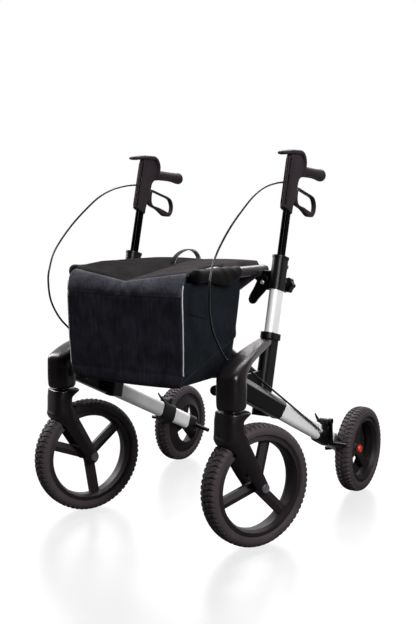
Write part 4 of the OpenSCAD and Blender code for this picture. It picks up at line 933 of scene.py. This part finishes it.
class ROLLATOR_OT_handles(bpy.types.Operator):
    """Handle housings with their visors, grips and lever loops"""
    bl_idname = "rollator.handles"
    bl_label = "Handles"

    def execute(self, context):
        # Housing: height along the upright, middle, half width, half depth. Its foot slants down to the rear.
        h, v, a, b = smooth([
            (806, -4, 8.0, 17.8), (807.5, -4.2, 9.2, 19.6), (811, -4.4, 9.7, 19.9), (822, -4.4, 9.9, 19.9),
            (852.6, -0.6, 9.9, 23.3), (867.7, 1.1, 9.9, 25), (882.7, 1.5, 9.9, 25.4), (893.7, 2.8, 10, 26.6),
            (901.9, 6.1, 10.3, 30), (911.5, 12, 10.8, 35.9), (922.5, 13.3, 11.2, 37.1),
            (936, 12.4, 11.2, 36.3), (945.7, 8.6, 10.8, 31.7), (955.3, 5, 9.8, 23)], 5).T
        body = flat_rings(0, v, h, a, b, 5.5, 80)
        slant = 3.5 * (body[..., 1] - v[:, None]) / b[:, None]
        body[..., 2] -= slant * np.clip(1 - (h[:, None] - 806) / 40, 0, 1)
        slot = flat_rings(0, 40.6, np.array([830.0, 888.0]), 7.1, 25, 40, 32)
        # Spine: a half-round bead down the front, with a groove on each side. Height, half width, half depth
        h, a, b = smooth([(810.5, 3, 3), (813, 4, 4.6), (825, 4.4, 5), (880, 4.6, 5.2), (925, 5, 5.4),
                          (943, 5.2, 5.6)], 5).T
        spine = path_rings(np.stack([0 * h, -22.4 + 0 * h, h], -1), a, b, 2.3, 32)
        # Near-black strips laid in those grooves: painted shade
        groove_shade = [flat_rings(k, -22.9, np.array([817.0, 818.5, 850, 900, 934, 936]),
                            [0.8, 1.9, 1.9, 1.9, 1.9, 0.8], 1.7, 4, 20)
                 for k in (-6.6, 6.6)]
        # Visor: place behind the axis, height, half width, half thickness
        v, h, a, b = smooth([
            (-71, 936, 6, 1.6), (-68.5, 936.4, 9.2, 3.1), (-60, 938.8, 12, 4.8), (-50, 942.2, 13.6, 5.1),
            (-37, 947.2, 14.5, 5.5), (-20, 952.5, 15, 6), (0, 957.5, 15, 6.5), (18, 962, 15, 6.5),
            (32, 959, 14.8, 6.5), (43, 948, 14.3, 6.3), (47, 934, 13.8, 5.2), (47.5, 918, 13.5, 4.6),
            (46, 908, 12, 3.4)], 5).T
        visor = path_rings(np.stack([0 * v, v, h], -1), a, b, 3.2, 48)
        # Grip: place along its axis, radius, drop of the palm swell
        k, r, drop = smooth([
            (-2, 11.5, 0), (4.5, 12, 0), (5, 13.2, 0), (8, 13.5, 0), (30, 13.4, 0), (60, 13, 0.2),
            (84, 13.2, 1.0), (100, 14.2, 2.0), (110, 15, 2.2), (116, 14.6, 2.0), (120.5, 12, 1.4),
            (122, 8, 0.8)], 5).T
        rise = math.radians(12)
        centre = np.stack([0 * k, 45 + k * math.cos(rise) + drop * math.sin(rise),
                           922 + k * math.sin(rise) - drop * math.cos(rise)], -1)
        ribs = r + 0.2 * np.sin(k * 1.6) * ((k > 14) & (k < 92))
        grip = path_rings(centre, ribs, ribs + drop * 0.5, 2, 48)
        # Lever loop: outer and inner outlines from the pin, as shares of its length; the inner one is the
        # finger hole
        middle = np.array([0.5, -0.12])
        outer = by_angle(smooth_loop([
            (-0.045, -0.024), (-0.04, 0.037), (0.106, 0.077), (0.44, 0.077), (0.772, 0.075), (0.91, 0.033),
            (0.984, -0.065), (1.0, -0.163), (0.99, -0.244), (0.95, -0.325), (0.935, -0.342), (0.91, -0.352),
            (0.82, -0.372), (0.68, -0.39), (0.52, -0.346), (0.36, -0.309), (0.114, -0.285), (0.008, -0.203)],
            8), middle, 160)
        inner = by_angle(smooth_loop([
            (0.138, -0.073), (0.146, 0.02), (0.22, 0.042), (0.5, 0.039), (0.797, 0.033), (0.911, -0.049),
            (0.951, -0.146), (0.935, -0.236), (0.862, -0.268), (0.67, -0.256), (0.476, -0.248),
            (0.24, -0.256), (0.16, -0.18)], 8), middle, 160)
        length = 123
        mid, reach = length * (outer + inner) / 2, length * (outer - inner) / 2
        u, v = round_table(3.4, 24)
        loop = np.stack([6.5 * u + 0 * mid[:, :1], mid[:, :1] + reach[:, :1] * v,
                         mid[:, 1:] + reach[:, 1:] * v], -1)
        pin = [0, 22, 868]
        lever = loop + pin
        for name, side in SIDES.items():
            housing = piece(f"{name}_handle_moulding", on_upright(body), handle_abs(), side=side)
            cutter = piece("lever slot", on_upright(slot), moulded_abs(), side=side)
            dress(cut(housing, [cutter], 40), f"{name}_handle", "moulded_black", f"{name}_handle_housing")
            for label, grid, cover, slot_name, stands_for in (
                    ("handle_spine", spine, handle_abs, "moulded_black", ()),
                    # The strips in the spine's grooves are painted shade
                    ("handle_groove_shade", groove_shade, nylon, "dark_plastic", ()),
                    ("visor", visor, handle_abs, "moulded_black", ()),
                    ("grip_sleeve", grip, grip_rubber, "grip_rubber", (f"{name}_grip",))):
                grids = [on_upright(part) for part in (grid if isinstance(grid, list) else [grid])]
                made = piece(f"{name}_{label}", grids, cover(), side=side)
                dress(made, f"{name}_handle", slot_name, *stands_for)
            made = piece(f"{name}_lever_loop", on_upright(lever), handle_abs(), wrap_rows=True, side=side)
            dress(made, f"{name}_lever", "moulded_black", f"{name}_brake_lever")
        return {"FINISHED"}


# Seat and bag

def outwards(x):
    """0 at the crease in the middle, 1 from the rails on."""
    return np.clip(np.abs(x) / LID_HALF, 0, 1)


def seat_height(x, y):
    """Height of the lid and seat: level over the rails and at the rear, two slopes that meet in a crease at
    the middle, deepest at the front, and each half slightly crowned."""
    share = outwards(x)
    edge = np.interp(y, [-60, -42, 10, 60, 282], [641, 646, 654, 658, 658])
    crease = np.minimum(621 + (y + 56) * 37 / 264, edge)
    crown = np.interp(y, [-60, 60, 282], [0.2, 1, 0.4])
    return crease + (edge - crease) * share ** 0.92 + 22 * share * (1 - share) * crown


def lid_front(x):
    """Front edge of the lid: a shallow V that points forwards at the crease."""
    return -56 + 14 * outwards(x)


def slab(x, y, top, thick):
    """Closed sheet between a surface on a grid and the same surface a little lower."""
    upper = np.stack(np.broadcast_arrays(x, y, top), -1)
    return np.concatenate([upper, (upper - [0, 0, thick])[:, ::-1]], 1)


def paint_near_half_light(made):
    """Gives the left half of a panel, beyond its crease, a lighter copy of its fabric: painted light on the
    half that tilts towards the main light.
    """
    made.data.materials.append(seat_cloth_painted_light())
    middle = np.empty(len(made.data.polygons) * 3)
    made.data.polygons.foreach_get("center", middle)
    made.data.polygons.foreach_set("material_index", (middle[::3] > SHIFT[0] / 1000).astype(np.int32))


class ROLLATOR_OT_seat(bpy.types.Operator):
    """Seat sling with its valley crease and the pull loop"""
    bl_idname = "rollator.seat"
    bl_label = "Seat"

    def execute(self, context):
        x = 164.7 * np.linspace(-1, 1, 81)[None]
        y = 104 + 178 * np.linspace(0, 1, 49)[:, None]
        roll = 8 * np.clip((np.abs(x) - 158) / 6.7, 0, 1) ** 2 + 8 * np.clip((y - 277) / 5, 0, 1) ** 2
        seat = piece("seat_panel", slab(x, y, seat_height(x, y) - roll, 8), seat_cloth(), crease=50)
        # The near half gets the lighter copy of the fabric: painted light
        paint_near_half_light(seat)
        dress(seat, "seat", "seat_fabric", "seat_sling")
        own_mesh(seat)
        # Pull loop: a flat band over an arch, black outside and undyed inside
        t = np.radians(np.linspace(0, 180, 49))
        arch = np.stack([0 * t, 193.5 - 59 * np.cos(t) + 9 * np.sin(t) ** 2,
                         652.5 + 32.5 * np.sin(t) ** 1.15], -1)
        for label, lift, half, cover in (("pull_loop", 0.8, 6.6, webbing),
                                         ("pull_loop_back", -0.8, 6.4, webbing_back)):
            way = np.gradient(arch, axis=0)
            square = np.stack([0 * t, -way[:, 2], way[:, 1]], -1)
            lifted = arch + lift * square / np.linalg.norm(way, axis=1)[:, None]
            strap = piece(label, path_rings(lifted, half, 0.8, 6, 16), cover())
            dress(strap, "seat", "webbing", *(["seat_strap"] if lift > 0 else []))
        return {"FINISHED"}


def bag_tub():
    """Tub of the bag as rows of a rectangle with round corners, from its turned-in foot to its mouth. The
    straight rows come from a table. Above them the front rolls back over a quarter of an ellipse to the lid's
    V edge, and the skin then turns inside and closes lower down. Long soft folds and a puffed top stand on
    the front. On each flank the cloth below a slanting fold is tucked in."""
    z, front, rear, half, corner = smooth([
        (380, -44, 116, 136, 20), (380.8, -54, 125, 148, 16), (384.5, -61, 132, 158, 12),
        (393, -64, 138, 164, 9), (412, -65, 143, 167.5, 9), (440, -66.3, 150, 169, 9),
        (480, -68, 159, 170, 9), (530, -69.8, 171, 170.5, 9), (585, -71.5, 183, 170, 9)], 6).T[:, :, None]
    (px, py), (nx, ny) = rounded_walk(110, 60)
    x = px * (half - corner) + corner * nx
    y = (front + rear) / 2 + py * ((rear - front) / 2 - corner) + corner * ny
    z = z + 0 * x
    # Roll of the front up to the lid
    k = np.linspace(0, 1, 15)[1:, None] * np.pi / 2
    face = np.clip(-ny, 0, 1)[None]
    mouth = face * (621 + 24 * outwards(x[-1:])) + (1 - face) * 622
    x = np.vstack([x, x[-1:] + 0 * k])
    y = np.vstack([y, y[-1:] + face * (lid_front(x[-1:]) - y[-1:]) * (1 - np.cos(k))])
    z = np.vstack([z, z[-1:] + (mouth - z[-1:]) * np.sin(k)])
    # Folds of the front
    up = np.clip((z - 380) / 240, 0, 1)
    puff = np.exp(-((z - 607) / 16) ** 2)
    inside = np.clip(1 - (np.abs(x) / 168) ** 6, 0, 1)
    y -= face * inside * (3.4 * puff * (1 + 0.4 * np.sin(x / 7 + 2 * np.sin(x / 31)))
                          - 2.2 * np.sin(np.pi * up))
    y += face * inside * 0.7 * np.sin(x / 21 + 1.7 * np.sin(z / 60)) * up
    y += face * (2.4 * np.exp(-((z - 590) / 2.4) ** 2) + 1.2 * np.exp(-((z - 411) / 2.2) ** 2))
    z -= 4 * np.clip(1 - (z - 380) / 40, 0, 1) * np.clip(1 - (x / 168) ** 2, 0, 1)
    # Tuck and slack of the flanks
    flank = np.clip((np.abs(nx) - 0.7) / 0.3, 0, 1)[None]
    flank = flank * np.clip((y + 66) / 20, 0, 1) * np.clip((176 - y) / 30, 0, 1)
    fold = 409 + (y + 58) * 49 / 148
    tuck = np.clip((fold - z) / 22, 0, 1)
    pocket = np.clip((560 - (y + 73) * POCKET_FALL - z) / 4, 0, 1)
    x += np.sign(x) * flank * (
        1.6 * np.sin(y / 33 + z / 47) - 13 * tuck ** 0.7
        + 3.5 * np.exp(-((z - fold - 6) / 9) ** 2) + 1.8 * pocket)
    grid = np.stack([x, y, z], -1)
    lip = np.stack([0.985 * x[-1], 58 + 0.985 * (y[-1] - 58), z[-1] - 1.5], -1)
    inner = np.stack([0.98 * x[-1], 58 + 0.98 * (y[-1] - 58), 560 + 0 * x[-1]], -1)
    return np.concatenate([grid, lip[None], inner[None]])


class ROLLATOR_OT_bag(bpy.types.Operator):
    """Bag: sewn tub, creased lid, piping and the sleeves on the rails"""
    bl_idname = "rollator.bag"
    bl_label = "Bag"

    def execute(self, context):
        grid = bag_tub()
        tub = piece("bag_tub", grid, bag_cloth(), crease=60)
        tub.data.materials.append(gusset_cloth())
        tub.data.materials.append(band_cloth_painted_light())
        normal = np.empty(len(tub.data.polygons) * 3)
        tub.data.polygons.foreach_get("normal", normal)
        middle = np.empty_like(normal)
        tub.data.polygons.foreach_get("center", middle)
        flank = np.abs(normal[::3]) > 0.7
        # Faces above the front's seam get the paler copy of the polyester: painted light
        painted_light_foot = 0.591
        cover = np.where(flank, 1, 2 * (middle[2::3] > painted_light_foot))
        tub.data.polygons.foreach_set("material_index", cover.astype(np.int32))
        dress(tub, "seat", "bag_fabric", "bag")
        # Lid: a sheet from rail to rail that goes on from the seat's own surface
        x = 166 * np.linspace(-1, 1, 101)[None]
        k = np.linspace(0, 1, 41)[:, None]
        y = lid_front(x) + (107 - lid_front(x)) * k
        lip = 5 * np.clip(1 - k / 0.06, 0, 1) ** 2
        lid = piece("bag_lid", slab(x, y, seat_height(x, y) - lip - 0.4 * k, 5), seat_cloth(), crease=50)
        # The near half gets the lighter copy of the fabric: painted light
        paint_near_half_light(lid)
        dress(lid, "seat", "bag_fabric")
        soft = [tub, lid]
        # The column at the middle of the near front corner
        corner = grid[:-2, 110 + 3]
        rows = np.linspace(413, 617, 60)
        line = np.stack([np.interp(rows, corner[:, 2], corner[:, 0]) + 0.4,
                         np.interp(rows, corner[:, 2], corner[:, 1]) - 0.4, rows], -1)
        seam = np.stack(np.broadcast_arrays(
            169.6, np.linspace(-60, 140, 40), 560 - np.linspace(13, 213, 40) * POCKET_FALL), -1)
        for name, side in SIDES.items():
            # Piping down each front corner, and the tape along the mouth of each side pocket
            pipe = piece(f"{name}_bag_piping", tube_rings(line, 1.45, 10), reflective_piping(), side=side)
            tape = piece(f"{name}_pocket_tape", tube_rings(seam + [0.8, 0, 0], 1.7, 10), binding(), side=side)
            for made in (pipe, tape):
                dress(made, "seat", "bag_fabric")
            soft += [pipe, tape]
            # Sleeve on the rail: place, half height, sag; slack in the middle, tapering to the bare rail
            y, tall, sag = smooth([
                (-40, 3, 0), (-39, 9, 0), (-36, 14, 0), (-29, 16.8, 0), (-12, 16, 0.5), (20, 16.5, 1),
                (60, 20, 4), (90, 23, 6.5), (120, 20, 5), (140, 16, 1), (146, 15.5, 0)], 7).T
            u, v = round_table(2.3, 40)
            y, tall, sag = y[:, None], tall[:, None], sag[:, None]
            slack = 1 + 0.03 * np.sin(y / 6 + 3 * v) * np.clip(y / 60, 0, 1)
            hose = np.stack([RAIL_X + np.minimum(tall, 16.5) * u * slack, y + 0 * u,
                             RAIL_Z - sag + tall * v * slack], -1)
            made = piece(f"{name}_rail_sleeve", hose, webbing(), side=side)
            dress(made, "cross_b" if side > 0 else "cross_a", "bag_fabric")
        for made in soft:
            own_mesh(made)
        return {"FINISHED"}


class ROLLATOR_PT_panel(bpy.types.Panel):
    """Operators of the rollator, in the order that they run in"""
    bl_idname = "ROLLATOR_PT_panel"
    bl_label = "Rollator"
    bl_space_type = "VIEW_3D"
    bl_region_type = "UI"
    bl_category = "Rollator"

    def draw(self, context):
        for operator in OPERATORS:
            self.layout.operator(operator.bl_idname)


OPERATORS = (ROLLATOR_OT_stage, ROLLATOR_OT_cables, ROLLATOR_OT_frame_finish, ROLLATOR_OT_front_housings,
             ROLLATOR_OT_brake_clamps, ROLLATOR_OT_forks, ROLLATOR_OT_wheels, ROLLATOR_OT_handles,
             ROLLATOR_OT_seat, ROLLATOR_OT_bag)
CLASSES = (RollatorSizes, RollatorColours) + OPERATORS + (ROLLATOR_PT_panel,)


def register():
    for cls in CLASSES:
        bpy.utils.register_class(cls)
    bpy.types.Scene.rollator_sizes = bpy.props.PointerProperty(type=RollatorSizes)
    bpy.types.Scene.rollator_colours = bpy.props.PointerProperty(type=RollatorColours)


def unregister():
    del bpy.types.Scene.rollator_colours, bpy.types.Scene.rollator_sizes
    for cls in reversed(CLASSES):
        bpy.utils.unregister_class(cls)


def main():
    register()
    for operator in OPERATORS:
        group, name = operator.bl_idname.split(".")
        getattr(getattr(bpy.ops, group), name)()


if __name__ == "__main__":
    main()
